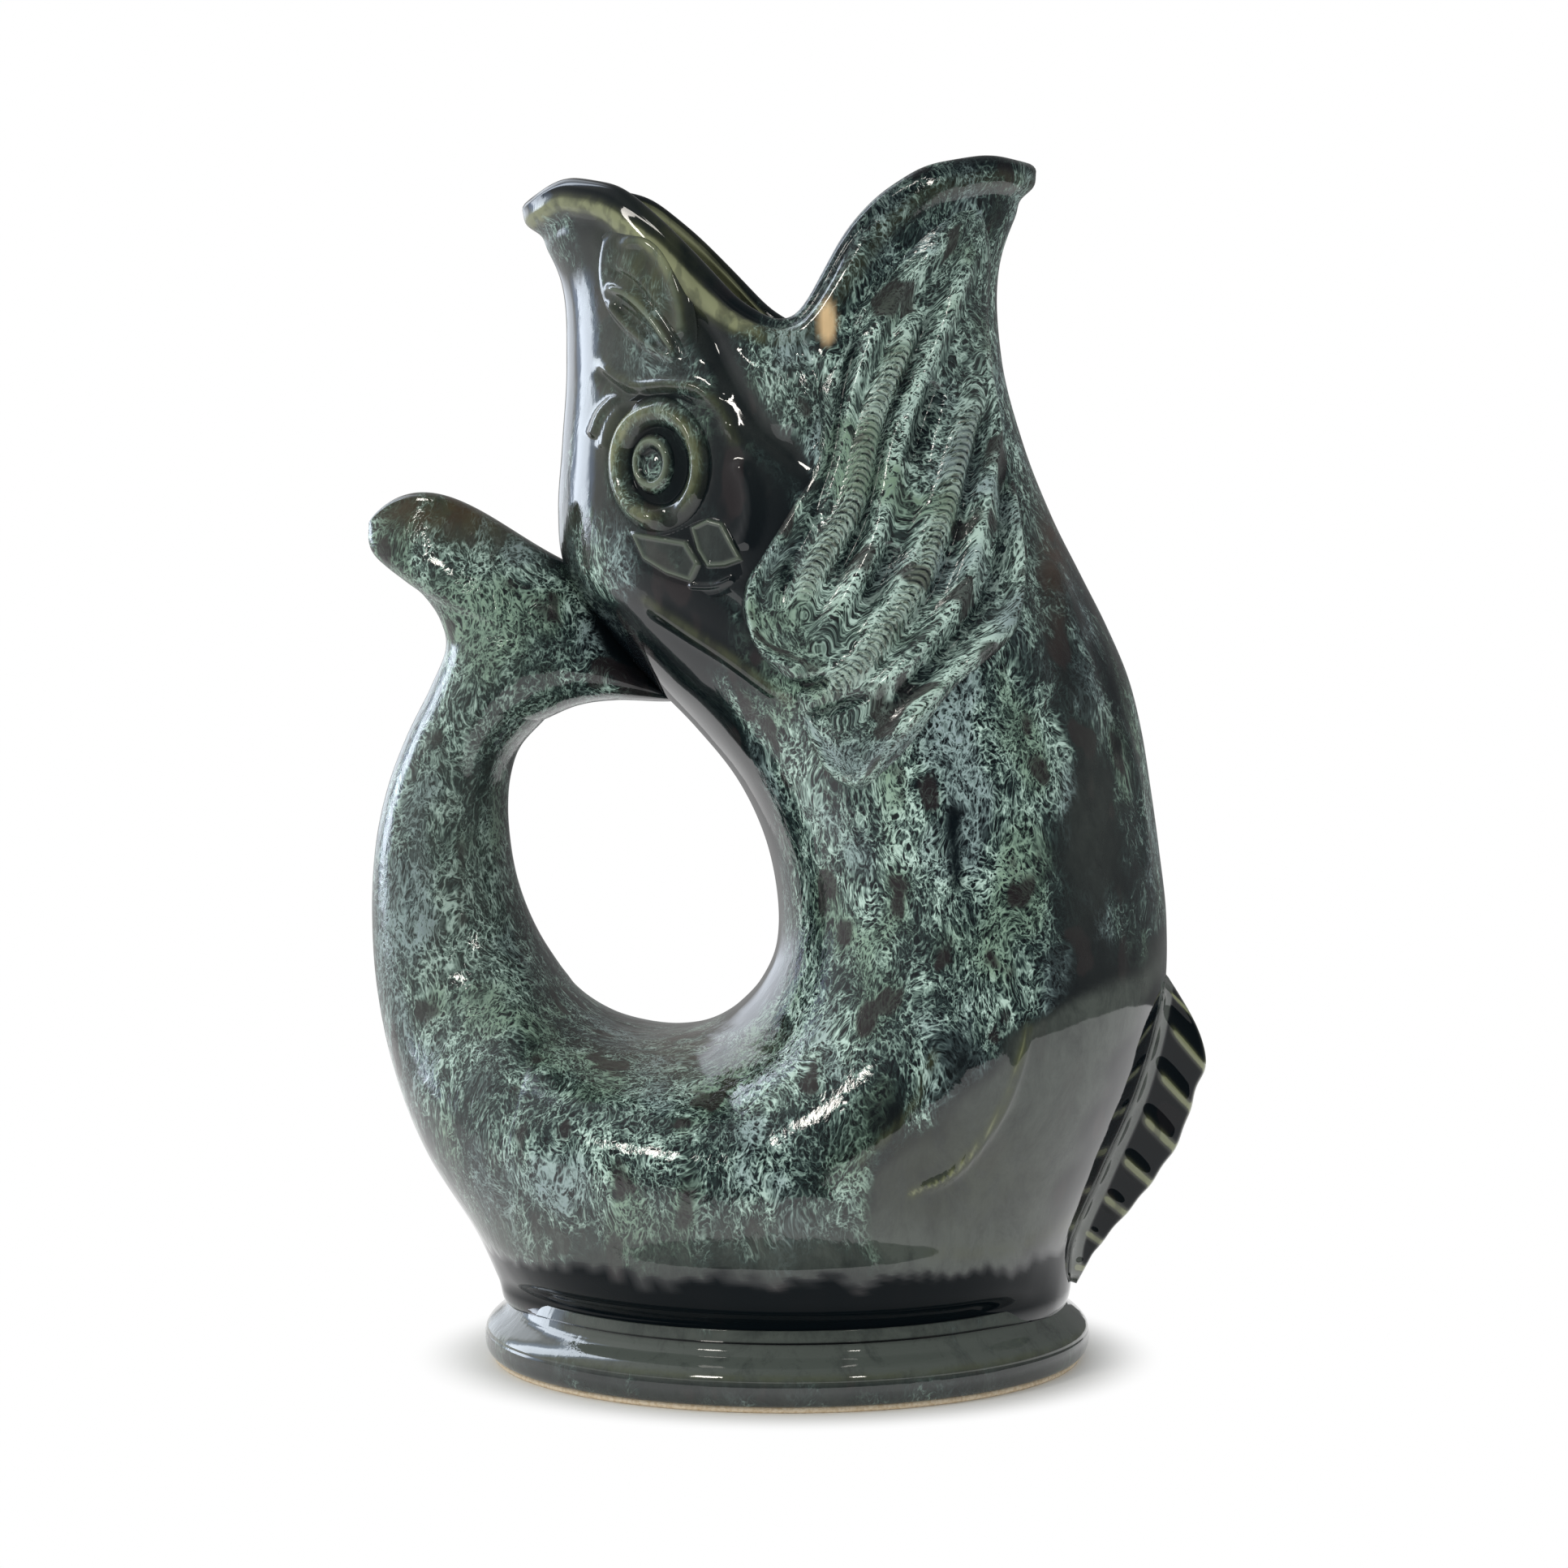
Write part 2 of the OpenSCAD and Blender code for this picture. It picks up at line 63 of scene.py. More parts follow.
# Rows from the mouth down to the waist: inner x and z, outer x and z, half width, as shares
headRows = np.array([
    [-0.626, 0.953, 0.582, 0.985, 0.50],
    [-0.536, 0.892, 0.500, 0.906, 0.55],
    [-0.522, 0.820, 0.504, 0.826, 0.59],
    [-0.532, 0.752, 0.555, 0.752, 0.63],
    [-0.542, 0.692, 0.621, 0.690, 0.67],
    [-0.525, 0.643, 0.690, 0.639, 0.70],
    [-0.441, 0.597, 0.752, 0.594, 0.73],
    [-0.334, 0.550, 0.804, 0.549, 0.75],
    [-0.216, 0.506, 0.836, 0.503, 0.76],
    [-0.116, 0.461, 0.858, 0.454, 0.78],
    [-0.050, 0.411, 0.880, 0.397, 0.80],
    [-0.019, 0.359, 0.898, 0.336, 0.83],
    [-0.021, 0.316, 0.892, 0.268, 0.87],
    [-0.058, 0.284, 0.841, 0.193, 0.91],
    [-0.111, 0.262, 0.759, 0.121, 0.95],
    [-0.164, 0.248, 0.688, 0.058, 0.98]])
# Rows over the floor: inner x and z and half width; their outer ends lie on the waist circle
floorRows = np.array([[-0.217, 0.240, 0.99], [-0.270, 0.236, 1], [-0.324, 0.235, 1], [-0.378, 0.238, 0.98],
                      [-0.431, 0.245, 0.94], [-0.482, 0.257, 0.87], [-0.528, 0.273, 0.77]])
# Rows from the floor to the tail's end, as the first ones
tailRows = np.array([
    [-0.550, 0.284, -0.692, 0.024, 0.71],
    [-0.569, 0.295, -0.750, 0.068, 0.635],
    [-0.604, 0.319, -0.862, 0.131, 0.50],
    [-0.633, 0.345, -0.940, 0.198, 0.39],
    [-0.655, 0.372, -0.983, 0.268, 0.335],
    [-0.668, 0.401, -0.996, 0.336, 0.30],
    [-0.673, 0.431, -0.987, 0.397, 0.28],
    [-0.666, 0.459, -0.957, 0.449, 0.265],
    [-0.641, 0.485, -0.911, 0.494, 0.255],
    [-0.582, 0.509, -0.858, 0.533, 0.25]])
# By the rise above the foot: how far the belly swells from waist to full width, and how far its oval counts
bellySwell = np.array([[0, 0], [0.03, 0.5], [0.07, 0.85], [0.12, 1], [0.18, 1], [0.24, 0.9]])
bellyWeight = np.array([[0.06, 1], [0.10, 0.96], [0.14, 0.8], [0.18, 0.45], [0.21, 0.2], [0.24, 0.04],
                        [0.26, 0]])
# By the cosine of the angle round the mouth: how deep its rim dips
rimDip = np.array([[-1, 0], [-0.82, -0.13], [-0.6, -0.03], [-0.42, 0.25], [-0.26, 0.55], [-0.12, 0.83],
                   [0.03, 1], [0.14, 1], [0.2, 0.9], [0.27, 0.66], [0.35, 0.4], [0.47, 0.18], [0.64, 0],
                   [0.88, -0.06], [1, 0]])
floorStart = len(headRows)
floorEnd = floorStart + len(floorRows) - 1
joinRow = floorEnd + 3
lastRow = floorEnd + len(tailRows)


def curve(table, u):
    # Smooth curve through a table's rows: a cubic whose slope at a row is half the step between its
    # neighbours
    k = np.clip(np.floor(u).astype(int), 0, len(table) - 2)
    t = (u - k)[..., None]
    wide = np.vstack([2 * table[0] - table[1], table, 2 * table[-1] - table[-2]])
    a, b, c, d = wide[k], wide[k + 1], wide[k + 2], wide[k + 3]
    return (2 * b + (c - a) * t + (2 * a - 5 * b + 4 * c - d) * t**2 + (3 * b - a - 3 * c + d) * t**3) / 2


def place(x, z):
    # A place given in shares: x of half the length, z of the rise above the foot
    return np.stack([x * jug["length"] / 2, jug["footHeight"] + z * (jug["height"] - jug["footHeight"])], -1)


def unit(v):
    # Vectors divided by their length
    return v / np.maximum(np.linalg.norm(v, axis=-1, keepdims=True), 1e-12)


def smooth(x, low, high):
    # 0 below low, 1 above high, and an even S between them
    t = np.clip((x - low) / (high - low), 0, 1)
    return t * t * (3 - 2 * t)


def hump(x, middle, reach):
    # 1 at the middle, falling off as e to minus the squared distance in shares of the reach
    return np.exp(-((x - middle) / reach)**2)


def fullRows(shares):
    # Rows in mm from rows in shares
    return np.hstack([place(shares[:, 0], shares[:, 1]), place(shares[:, 2], shares[:, 3]),
                      shares[:, 4:5] * jug["width"] / 2])


floorAngles = np.pi * np.arange(len(floorRows)) / (len(floorRows) - 1)
rows = np.vstack([
    fullRows(headRows),
    np.hstack([place(floorRows[:, 0], floorRows[:, 1]), (jug["waist"] * np.cos(floorAngles))[:, None],
               np.full((len(floorRows), 1), float(jug["footHeight"])), floorRows[:, 2:3] * jug["width"] / 2]),
    fullRows(tailRows)])
outlineSteps = np.arange(0, 5.01, 0.05)
bellyFront = curve(rows, floorStart - outlineSteps)[:, [3, 2]]
bellyBack = curve(rows, floorEnd + outlineSteps)[:, [3, 2]]
dipPlaces = np.linspace(-1, 1, 401)
dipBlur = np.exp(-0.5 * (np.arange(-24, 25) / 8)**2)
dipDepths = np.convolve(np.pad(np.interp(dipPlaces, rimDip[:, 0], rimDip[:, 1]), 24, mode="edge"),
                        dipBlur / dipBlur.sum(), mode="valid")


def skin(u, phi, side, inset=0.0):
    # Point of the jug at row u and angle phi, 0 at a row's outer end and pi at its inner end.
    # Across the jug a row is an ellipse, half width times sin phi; over the floor it opens out to the waist
    # circle, and low on the belly an oval between the front and back outlines takes over
    u, phi, side, inset = np.broadcast_arrays(u, phi, side, inset)
    row = curve(rows, u)
    inner, outer = row[..., 0:2], row[..., 2:4]
    along = unit(outer - inner)
    overFloor = (u > floorStart) & (u < floorEnd)
    angle = np.pi * (u - floorStart) / (floorEnd - floorStart)
    front = u < (floorStart + floorEnd) / 2
    near = np.clip(1 - np.where(front, floorStart - u, u - floorEnd) / 2, 0, None)[..., None]
    corner = np.stack([np.where(front, 1, -1), np.full(u.shape, -1)], -1)
    waistEnd = np.stack([(jug["waist"] - inset) * np.cos(angle), jug["footHeight"] + inset], -1)
    outerEnd = np.where(overFloor[..., None], waistEnd,
                        outer - inset[..., None] * (near * corner + (1 - near) * along))
    innerEnd = inner + inset[..., None] * along
    p = np.cos(phi)
    q = (innerEnd * (1 - p)[..., None] + outerEnd * (1 + p)[..., None]) / 2
    dip = jug["notch"] * np.interp(p, dipPlaces, dipDepths) * np.clip(1 - u / 2.5, 0, None)**1.3
    z = q[..., 1] - dip
    power = 1 + 0.1 * np.clip(1 - u / 3, 0, None)
    across = (row[..., 4] - inset) * np.abs(np.sin(phi))**power
    flat = np.where(overFloor & (p > 0), (jug["waist"] - inset) * np.sin(angle) * p, 0)
    tube = np.hypot(across, flat)
    rise = (z - jug["footHeight"]) / (jug["height"] - jug["footHeight"])
    frontX = np.interp(z, bellyFront[:, 0], bellyFront[:, 1]) - inset
    backX = np.interp(z, bellyBack[:, 0], bellyBack[:, 1]) + inset
    e = (2 * q[..., 0] - frontX - backX) / (frontX - backX)
    swell = np.interp(rise, bellySwell[:, 0], bellySwell[:, 1])
    widest = jug["waist"] + (jug["width"] / 2 - jug["waist"]) * swell - inset
    oval = widest * np.sqrt(np.clip(1 - e * e, 0, None))
    weight = np.interp(rise, bellyWeight[:, 0], bellyWeight[:, 1])
    y = (1 - weight) * tube + weight * oval
    y = np.where((phi >= np.pi - 1e-9) | ((phi <= 1e-9) & ~overFloor), 0, y)
    return np.stack([q[..., 0], side * y, z], -1)


def ringAngles(count):
    # Angles round a row, down the right side and back up the left: phi and the side's sign
    half = np.linspace(0, np.pi, count + 1)
    return np.concatenate([half, half[-2::-1]]), np.concatenate([-np.ones(count + 1), np.ones(count)])


def gridNormals(points):
    # Outward normals of a grid of rows and columns, from the cross product of its two central steps
    down = np.gradient(points, axis=0)
    across = np.empty_like(points)
    across[:, 1:-1] = points[:, 2:] - points[:, :-2]
    across[:, 0] = across[:, -1] = points[:, 1] - points[:, -2]
    return unit(np.cross(across, down))


print("camera and shape rows ready")


def pixelOf(points):
    # Where the photograph shows points: turned by the azimuth, tipped by the pitch and divided by depth
    a, t = math.radians(photo["azimuth"]), math.radians(photo["pitch"])
    x, y, z = points[..., 0], points[..., 1], points[..., 2]
    sideways = x * math.cos(a) + y * math.sin(a)
    away = photo["distance"] - x * math.sin(a) + y * math.cos(a)
    depth = away * math.cos(t) - (z - photo["height"]) * math.sin(t)
    up = away * math.sin(t) + (z - photo["height"]) * math.cos(t)
    return np.stack([photo["middle"][0] + photo["focal"] * sideways / depth,
                     photo["middle"][1] - photo["focal"] * up / depth], -1)


def sidePixel(points):
    # The pixel of a point or of its twin on the photographed side, so that both sides match
    return pixelOf(np.stack([points[..., 0], -np.abs(points[..., 1]), points[..., 2]], -1))


def lineDistance(pix, line):
    # Distance in pixels from each point to a polyline, and how far along it the nearest point lies, 0 to 1
    line = np.asarray(line, float)
    best, along = np.full(pix.shape[:-1], 1e9), np.zeros(pix.shape[:-1])
    lengths = np.linalg.norm(np.diff(line, axis=0), axis=1)
    starts = np.concatenate([[0], np.cumsum(lengths)])
    for a, b, length, start in zip(line[:-1], line[1:], lengths, starts):
        t = np.clip(((pix - a) @ (b - a)) / length**2, 0, 1)
        d = np.linalg.norm(pix - a - t[..., None] * (b - a), axis=-1)
        closer = d < best
        best = np.where(closer, d, best)
        along = np.where(closer, (start + t * length) / starts[-1], along)
    return best, along


def smoothLine(points, steps=8, closed=False):
    # A smooth curve through given points
    table = np.asarray(points, float)
    if closed:
        table = np.vstack([table[-1], table, table[0], table[1]])
        return curve(table, 1 + np.arange(len(points) * steps) / steps)
    return curve(table, np.linspace(0, len(table) - 1, (len(table) - 1) * steps + 1))


def insideDistance(pix, outline):
    # Distance in pixels to a closed outline, positive inside it and negative outside
    closed = np.vstack([outline, outline[:1]])
    d, _ = lineDistance(pix, closed)
    crossings = np.zeros(pix.shape[:-1], int)
    for a, b in zip(closed[:-1], closed[1:]):
        spans = (a[1] > pix[..., 1]) != (b[1] > pix[..., 1])
        if a[1] != b[1]:
            crossings += spans & (pix[..., 0] < (b[0] - a[0]) * (pix[..., 1] - a[1]) / (b[1] - a[1]) + a[0])
    return np.where(crossings % 2 == 1, d, -d)


def makeMesh(name, grid, maps, normals=None, loop=False):
    # A mesh from a grid of points in mm whose rows are closed rings, with its attributes; loop joins the last
    # row to the first. Corners at one place are joined, and quads that fall flat are dropped
    points, faces = grid.reshape(-1, 3), gridFaces(*grid.shape[:2], loop)
    _, first, merged = np.unique(np.round(points, 4), axis=0, return_index=True, return_inverse=True)
    merged = merged.reshape(-1)
    quads = merged[faces]
    same = quads == np.roll(quads, -1, axis=1)
    kept = (same.sum(1) <= 1) & (quads[:, 0] != quads[:, 2]) & (quads[:, 1] != quads[:, 3])
    quads, same = quads[kept], same[kept]
    corners = points[first]
    a, b, c, d = (corners[quads[:, k]] for k in range(4))
    if (np.cross(b - a, c - a) * a).sum() + (np.cross(c - a, d - a) * a).sum() < 0:
        quads, same = quads[:, ::-1], np.roll(same[:, ::-1], 1, axis=1)
    keep = ~same
    counts = keep.sum(1)
    mesh = bpy.data.meshes.new(name)
    mesh.vertices.add(len(first))
    mesh.vertices.foreach_set("co", (points[first] / 1000).astype(np.float32).ravel())
    mesh.loops.add(int(counts.sum()))
    mesh.loops.foreach_set("vertex_index", quads[keep].astype(np.int32))
    mesh.polygons.add(len(quads))
    mesh.polygons.foreach_set("loop_start", np.concatenate([[0], np.cumsum(counts)[:-1]]).astype(np.int32))
    mesh.polygons.foreach_set("use_smooth", np.ones(len(quads), bool))
    mesh.update(calc_edges=True)
    mesh.validate()
    for key, values in maps.items():
        kind, field = ("FLOAT_VECTOR", "vector") if values.ndim == 2 else ("FLOAT", "value")
        attribute = mesh.attributes.new(key, kind, "POINT")
        attribute.data.foreach_set(field, values[first].astype(np.float32).ravel())
    if normals is not None:
        mesh.normals_split_custom_set_from_vertices(normals.reshape(-1, 3)[first].astype(np.float32).tolist())
    thing = bpy.data.objects.new(name, mesh)
    bpy.context.scene.collection.objects.link(thing)
    return thing


def gridFaces(count, width, loop):
    # Quads of a grid of count rows, each a closed ring of width points
    i, j = np.meshgrid(np.arange(count if loop else count - 1), np.arange(width), indexing="ij")
    i, j = i.ravel(), j.ravel()
    ni, nj = (i + 1) % count, (j + 1) % width
    return np.stack([i * width + j, ni * width + j, ni * width + nj, i * width + nj], 1)


def dress(thing, material, slot, *nodes):
    # Gives a finished piece its material and its body, and hides the CAD parts that it stands for
    thing.data.materials.append(material)
    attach(thing, "root")
    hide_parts(*nodes)
    print(thing.name, len(thing.data.polygons), "faces")
    return thing


# Camera at the photograph's angle
azimuth = math.radians(photo["azimuth"])
cameraData = bpy.data.cameras.new("photoCamera")
cameraData.lens = cameraData.sensor_width * photo["focal"] / photo["pixels"]
cameraData.clip_start = 0.05
camera = bpy.data.objects.new("photoCamera", cameraData)
slide = (photo["pixels"] / 2 - photo["middle"][0]) * photo["distance"] / photo["focal"]
camera.location = ((photo["distance"] * math.sin(azimuth) + slide * math.cos(azimuth)) / 1000,
                   (-photo["distance"] * math.cos(azimuth) + slide * math.sin(azimuth)) / 1000,
                   photo["height"] / 1000)
camera.rotation_euler = (math.radians(90 - photo["pitch"]), 0, azimuth)
bpy.context.scene.collection.objects.link(camera)
bpy.context.scene.camera = camera


def linear(hexColour):
    # An sRGB hex colour as linear light, by the sRGB curve
    parts = [int(hexColour[k:k + 2], 16) / 255 for k in (1, 3, 5)]
    return [c / 12.92 if c <= 0.04045 else ((c + 0.055) / 1.055)**2.4 for c in parts] + [1.0]


def nodeAdder(tree):
    # Empties a node tree and gives the function that adds a node to it: its kind, its sockets by name or
    # number, each set to a value or linked to a node or to (node, output), and its properties
    tree.nodes.clear()

    def add(kind, links=None, **settings):
        node = tree.nodes.new("ShaderNode" + kind)
        for key, value in settings.items():
            setattr(node, key, value)
        for key, value in (links or {}).items():
            source = value if isinstance(value, tuple) else (value, 0)
            if isinstance(source[0], bpy.types.Node):
                tree.links.new(source[0].outputs[source[1]], node.inputs[key])
            else:
                node.inputs[key].default_value = value
        return node
    return add


sCurve = {"interpolation_type": "SMOOTHSTEP"}  # for a range that runs along an even S


def newMaterial(name):
    # An empty material and its function that adds nodes
    material = bpy.data.materials.new(name)
    material.use_nodes = True
    return material, nodeAdder(material.node_tree)


def setStops(ramp, stops, colours):
    # Sets a colour ramp's stops, each a place from 0 to 1 and the name of a colour
    elements = ramp.color_ramp.elements
    while len(elements) < len(stops):
        elements.new(0.5)
    for element, (at, key) in zip(elements, stops):
        element.position = at
        element.color = linear(colours[key])


# Curdled reactive glaze: a blue-black glaze full of fine mint and grey rutile flecks that ran down in the
# kiln, olive where it drew thin over raised work and brown in smooth spots, under a wet, deep gloss
glaze = {
    "deep": "#0b1216",
    "middle": "#293837",
    "light": "#80988e",
    "pale": "#c7e1d5",
    "bluish": "#93a5aa",
    "greenish": "#7e9a80",
    "brown": "#241f21",
    "olive": "#4d5139",
    "khaki": "#868a6a",
    # The rib colour: a lighter grey-green, a glaze colour on the gill cords and a painted highlight on raised
    # edges
    "rib": "#75806f",
    "milk": "#505651",
    "amber": "#4a3120",
    "clay": "#dcbd90",
    "fleck": 0.6,        # mm from one fleck to the next
    "vein": 0.95,        # mm from one thin winding vein to the next
    "streak": 2.4,       # mm from one pale streak to the next
    "curdle": 1.0,       # mm, size of the finest eddies
    "curl": 2.6,         # mm, size of the eddies that curl the flecks
    "lump": 2.7,         # mm from one lump of flecks to the next
    "ripple": 3.0,       # mm from one ripple of the surface to the next
    "break": 3.2,        # mm, size of the gaps in thin glaze
    "fray": 4.0,         # mm, size of the gaps in the amber of an edge
    "lock": 5.0,         # mm from one long pale curl to the next
    "mottle": 6,         # mm, size of the clouds in milky glaze
    "spot": 8.5,         # mm from one smooth brown spot to the next
    "cluster": 10,       # mm from one cluster of flecks to the next
    "swirl": 13,         # mm, size of the slow swirls that carry them
    "patch": 13,         # mm, size of denser and barer patches
    "hank": 15,          # mm, size of areas with and without long curls
    "hue": 17,           # mm, size of bluer and greener areas
    "swell": 12,         # mm from one swell of the surface to the next
    "roughness": 0.05,
    "ior": 1.62,
    "paintedCreaseShade": 0.46,        # share of the gloss level lost where glaze pools in a crease, as painted shade
}


def reactiveGlaze():
    material, add = newMaterial("reactiveGlaze")
    start = (add("Attribute", attribute_name="flow"), "Vector")
    fleck, thin, edge, bare, pool, milk, rib, bright = (
        (add("Attribute", attribute_name=key), "Fac")
        for key in ("fleck", "thin", "edge", "bare", "pool", "milk", "rib", "bright"))

    def blots(vector, size, low, high, detail=2.0):
        # Soft blots: a noise of a size in mm, cut by an even S from low to high
        field = add("TexNoise", {"Vector": vector, "Scale": 1 / size, "Detail": detail})
        return add("MapRange", {"Value": field, "From Min": low, "From Max": high}, **sCurve)

    def veins(vector, size, half):
        # Thin winding lines, where a noise crosses its middle value
        field = add("TexNoise", {"Vector": vector, "Scale": 1 / size, "Detail": 2.0})
        away = add("Math", {0: add("Math", {0: field, 1: 0.5}, operation="SUBTRACT")}, operation="ABSOLUTE")
        return add("MapRange", {"Value": away, "From Min": half, "From Max": 0.0}, **sCurve)

    def warped(vector, size, reach):
        # Places moved by eddies: place plus reach times a colour noise less a half
        eddy = add("TexNoise", {"Vector": vector, "Scale": 1 / size, "Detail": 1.5})
        centred = add("VectorMath", {0: (eddy, "Color"), 1: (0.5, 0.5, 0.5)}, operation="SUBTRACT")
        return add("VectorMath", {0: centred, 1: (reach, reach, reach), 2: vector}, operation="MULTIPLY_ADD")

    # How pale the glaze is: curds and veins in lumps, with streaks and locks, in clusters and patches
    swirled = warped(start, glaze["swirl"], 0.8 * glaze["swirl"])
    curled = warped(swirled, glaze["curl"], 0.75 * glaze["curl"])
    curdled = warped(curled, glaze["curdle"], 0.5 * glaze["curdle"])
    fine = add("Math", {0: veins(curdled, glaze["vein"], 0.075), 1: 0.62}, operation="MULTIPLY")
    curds = blots(curdled, glaze["fleck"], 0.38, 0.64, 1.5)
    grain = add("Math", {0: curds, 1: 0.5, 2: fine}, operation="MULTIPLY_ADD")
    lumps = blots(curled, glaze["lump"], 0.45, 0.66)
    lumpy = add("Math", {0: lumps, 1: 0.42, 2: 0.40}, operation="MULTIPLY_ADD")
    streaks = add("Math", {0: veins(curdled, glaze["streak"], 0.05), 1: 0.42}, operation="MULTIPLY")
    body = add("Math", {0: grain, 1: lumpy, 2: streaks}, operation="MULTIPLY_ADD")
    hanks = blots(start, glaze["hank"], 0.48, 0.6)
    locks = add("Math", {0: veins(curled, glaze["lock"], 0.028), 1: hanks}, operation="MULTIPLY")
    value = add("Math", {0: locks, 1: 0.5, 2: body}, operation="MULTIPLY_ADD")
    clusters = blots(swirled, glaze["cluster"], 0.38, 0.62)
    crowd = add("Math", {0: clusters, 1: 0.55, 2: 0.74}, operation="MULTIPLY_ADD")
    crowded = add("Math", {0: value, 1: crowd}, operation="MULTIPLY")
    lively = add("Math", {0: bright, 1: crowded, 2: crowded}, operation="MULTIPLY_ADD")
    patches = add("TexNoise", {"Vector": warped(start, 9, 9), "Scale": 1 / glaze["patch"], "Detail": 3.5,
                               "Roughness": 0.6})
    cover = add("Math", {0: patches, 1: 2.2, 2: fleck}, operation="MULTIPLY_ADD")
    covered = add("MapRange", {"Value": cover, "From Min": 1.05, "From Max": 2.05}, **sCurve)
    strength = add("Math", {0: lively, 1: covered}, operation="MULTIPLY", use_clamp=True)
    colour = add("ValToRGB", {"Fac": strength})
    setStops(colour, [(0.0, "deep"), (0.18, "middle"), (0.5, "light"), (0.95, "pale")], glaze)

    # Layers over the flecks, from the lowest up: how much of each, and its colour
    visible = add("Math", {0: strength, 1: 0.95}, operation="MULTIPLY", use_clamp=True)
    cool = add("Math", {0: blots(start, glaze["hue"], 0.52, 0.66), 1: visible}, operation="MULTIPLY")
    warm = add("Math", {0: blots(start, glaze["hue"], 0.46, 0.34), 1: visible}, operation="MULTIPLY")
    spots = blots(warped(start, 4, 2.5), glaze["spot"], 0.39, 0.33, 1.5)
    smoothSpots = add("Math", {0: spots, 1: 0.88}, operation="MULTIPLY")
    mottle = add("TexNoise", {"Vector": swirled, "Scale": 1 / glaze["mottle"], "Detail": 5.0,
                              "Roughness": 0.75})
    cloud = add("Math", {0: mottle, 1: 2.4, 2: -0.2}, operation="MULTIPLY_ADD")
    # Milky clouds: milky glaze, and painted reflection where the milk marks stand in for it
    milkCover = add("Math", {0: milk, 1: cloud}, operation="MULTIPLY", use_clamp=True)
    gaps = blots(curled, glaze["break"], 0.32, 0.6, 3.0)
    broken = add("Math", {0: gaps, 1: 0.6, 2: 0.4}, operation="MULTIPLY_ADD")
    thinCover = add("Math", {0: thin, 1: broken}, operation="MULTIPLY", use_clamp=True)
    drawnThin = add("MapRange", {"Value": thin, "From Min": 0.65, "From Max": 1.2}, **sCurve)
    drawn = add("Mix", {0: drawnThin, 6: linear(glaze["olive"]), 7: linear(glaze["khaki"])}, data_type="RGBA")
    frayed = blots(curled, glaze["fray"], 0.25, 0.6, 3.0)
    edgeCover = add("Math", {0: edge, 1: frayed}, operation="MULTIPLY", use_clamp=True)
    # The deep layer is pooled glaze and painted shade, the milky layer also lays painted reflections, and the
    # rib layer painted highlights on raised edges
    for amount, key in ((cool, "bluish"), (warm, "greenish"), (smoothSpots, "brown"), (milkCover, "milk"),
                        (thinCover, "thin"), (edgeCover, "amber"), (pool, "deep"), (rib, "rib"),
                        (bare, "clay")):
        top = (drawn, 2) if key == "thin" else linear(glaze[key])
        colour = (add("Mix", {0: amount, 6: colour, 7: top}, data_type="RGBA"), 2)

    # Relief in mm: a slow swell, a ripple where there are flecks, and the flecks themselves a little proud
    proud = add("Math", {0: strength, 1: 0.02}, operation="MULTIPLY")
    rippled = add("Math", {0: covered, 1: 0.15, 2: 0.015}, operation="MULTIPLY_ADD")
    ripple = add("TexNoise", {"Vector": curled, "Scale": 1 / glaze["ripple"], "Detail": 2.0})
    uneven = add("Math", {0: ripple, 1: rippled, 2: proud}, operation="MULTIPLY_ADD")
    swell = add("TexNoise", {"Vector": start, "Scale": 1 / glaze["swell"], "Detail": 1.0})
    height = add("Math", {0: swell, 1: 0.16, 2: uneven}, operation="MULTIPLY_ADD")
    bump = add("Bump", {"Height": height, "Strength": 1.0, "Distance": 0.001})
    # Painted shade: the gloss level drops where glaze pools, in creases and in the waist
    glossWithPaintedShade = add("Math", {0: pool, 1: -glaze["paintedCreaseShade"], 2: 0.5}, operation="MULTIPLY_ADD")
    shader = add("BsdfPrincipled", {"Base Color": colour, "Roughness": glaze["roughness"],
                                    "IOR": glaze["ior"], "Specular IOR Level": glossWithPaintedShade, "Normal": bump})
    add("OutputMaterial", {"Surface": shader})
    return material


# Unglazed earthenware: the foot's rim was wiped clean before firing and stays matt, pale and gritty
clay = {"pale": "#e6d6bd", "warm": "#cdb592", "grain": 0.7, "roughness": 0.85, "ior": 1.45}


def bareClay():
    material, add = newMaterial("bareClay")
    coords = add("TexCoord")
    grit = add("TexNoise", {"Vector": (coords, "Object"), "Scale": 1000 / clay["grain"], "Detail": 3.0})
    ramp = add("ValToRGB", {"Fac": grit})
    setStops(ramp, [(0.3, "warm"), (0.6, "pale")], clay)
    bump = add("Bump", {"Height": grit, "Strength": 0.4, "Distance": 0.0002})
    shader = add("BsdfPrincipled", {"Base Color": ramp, "Roughness": clay["roughness"], "IOR": clay["ior"],
                                    "Normal": bump})
    add("OutputMaterial", {"Surface": shader})
    return material


glazeMaterial = reactiveGlaze()
clayMaterial = bareClay()
print("materials ready")

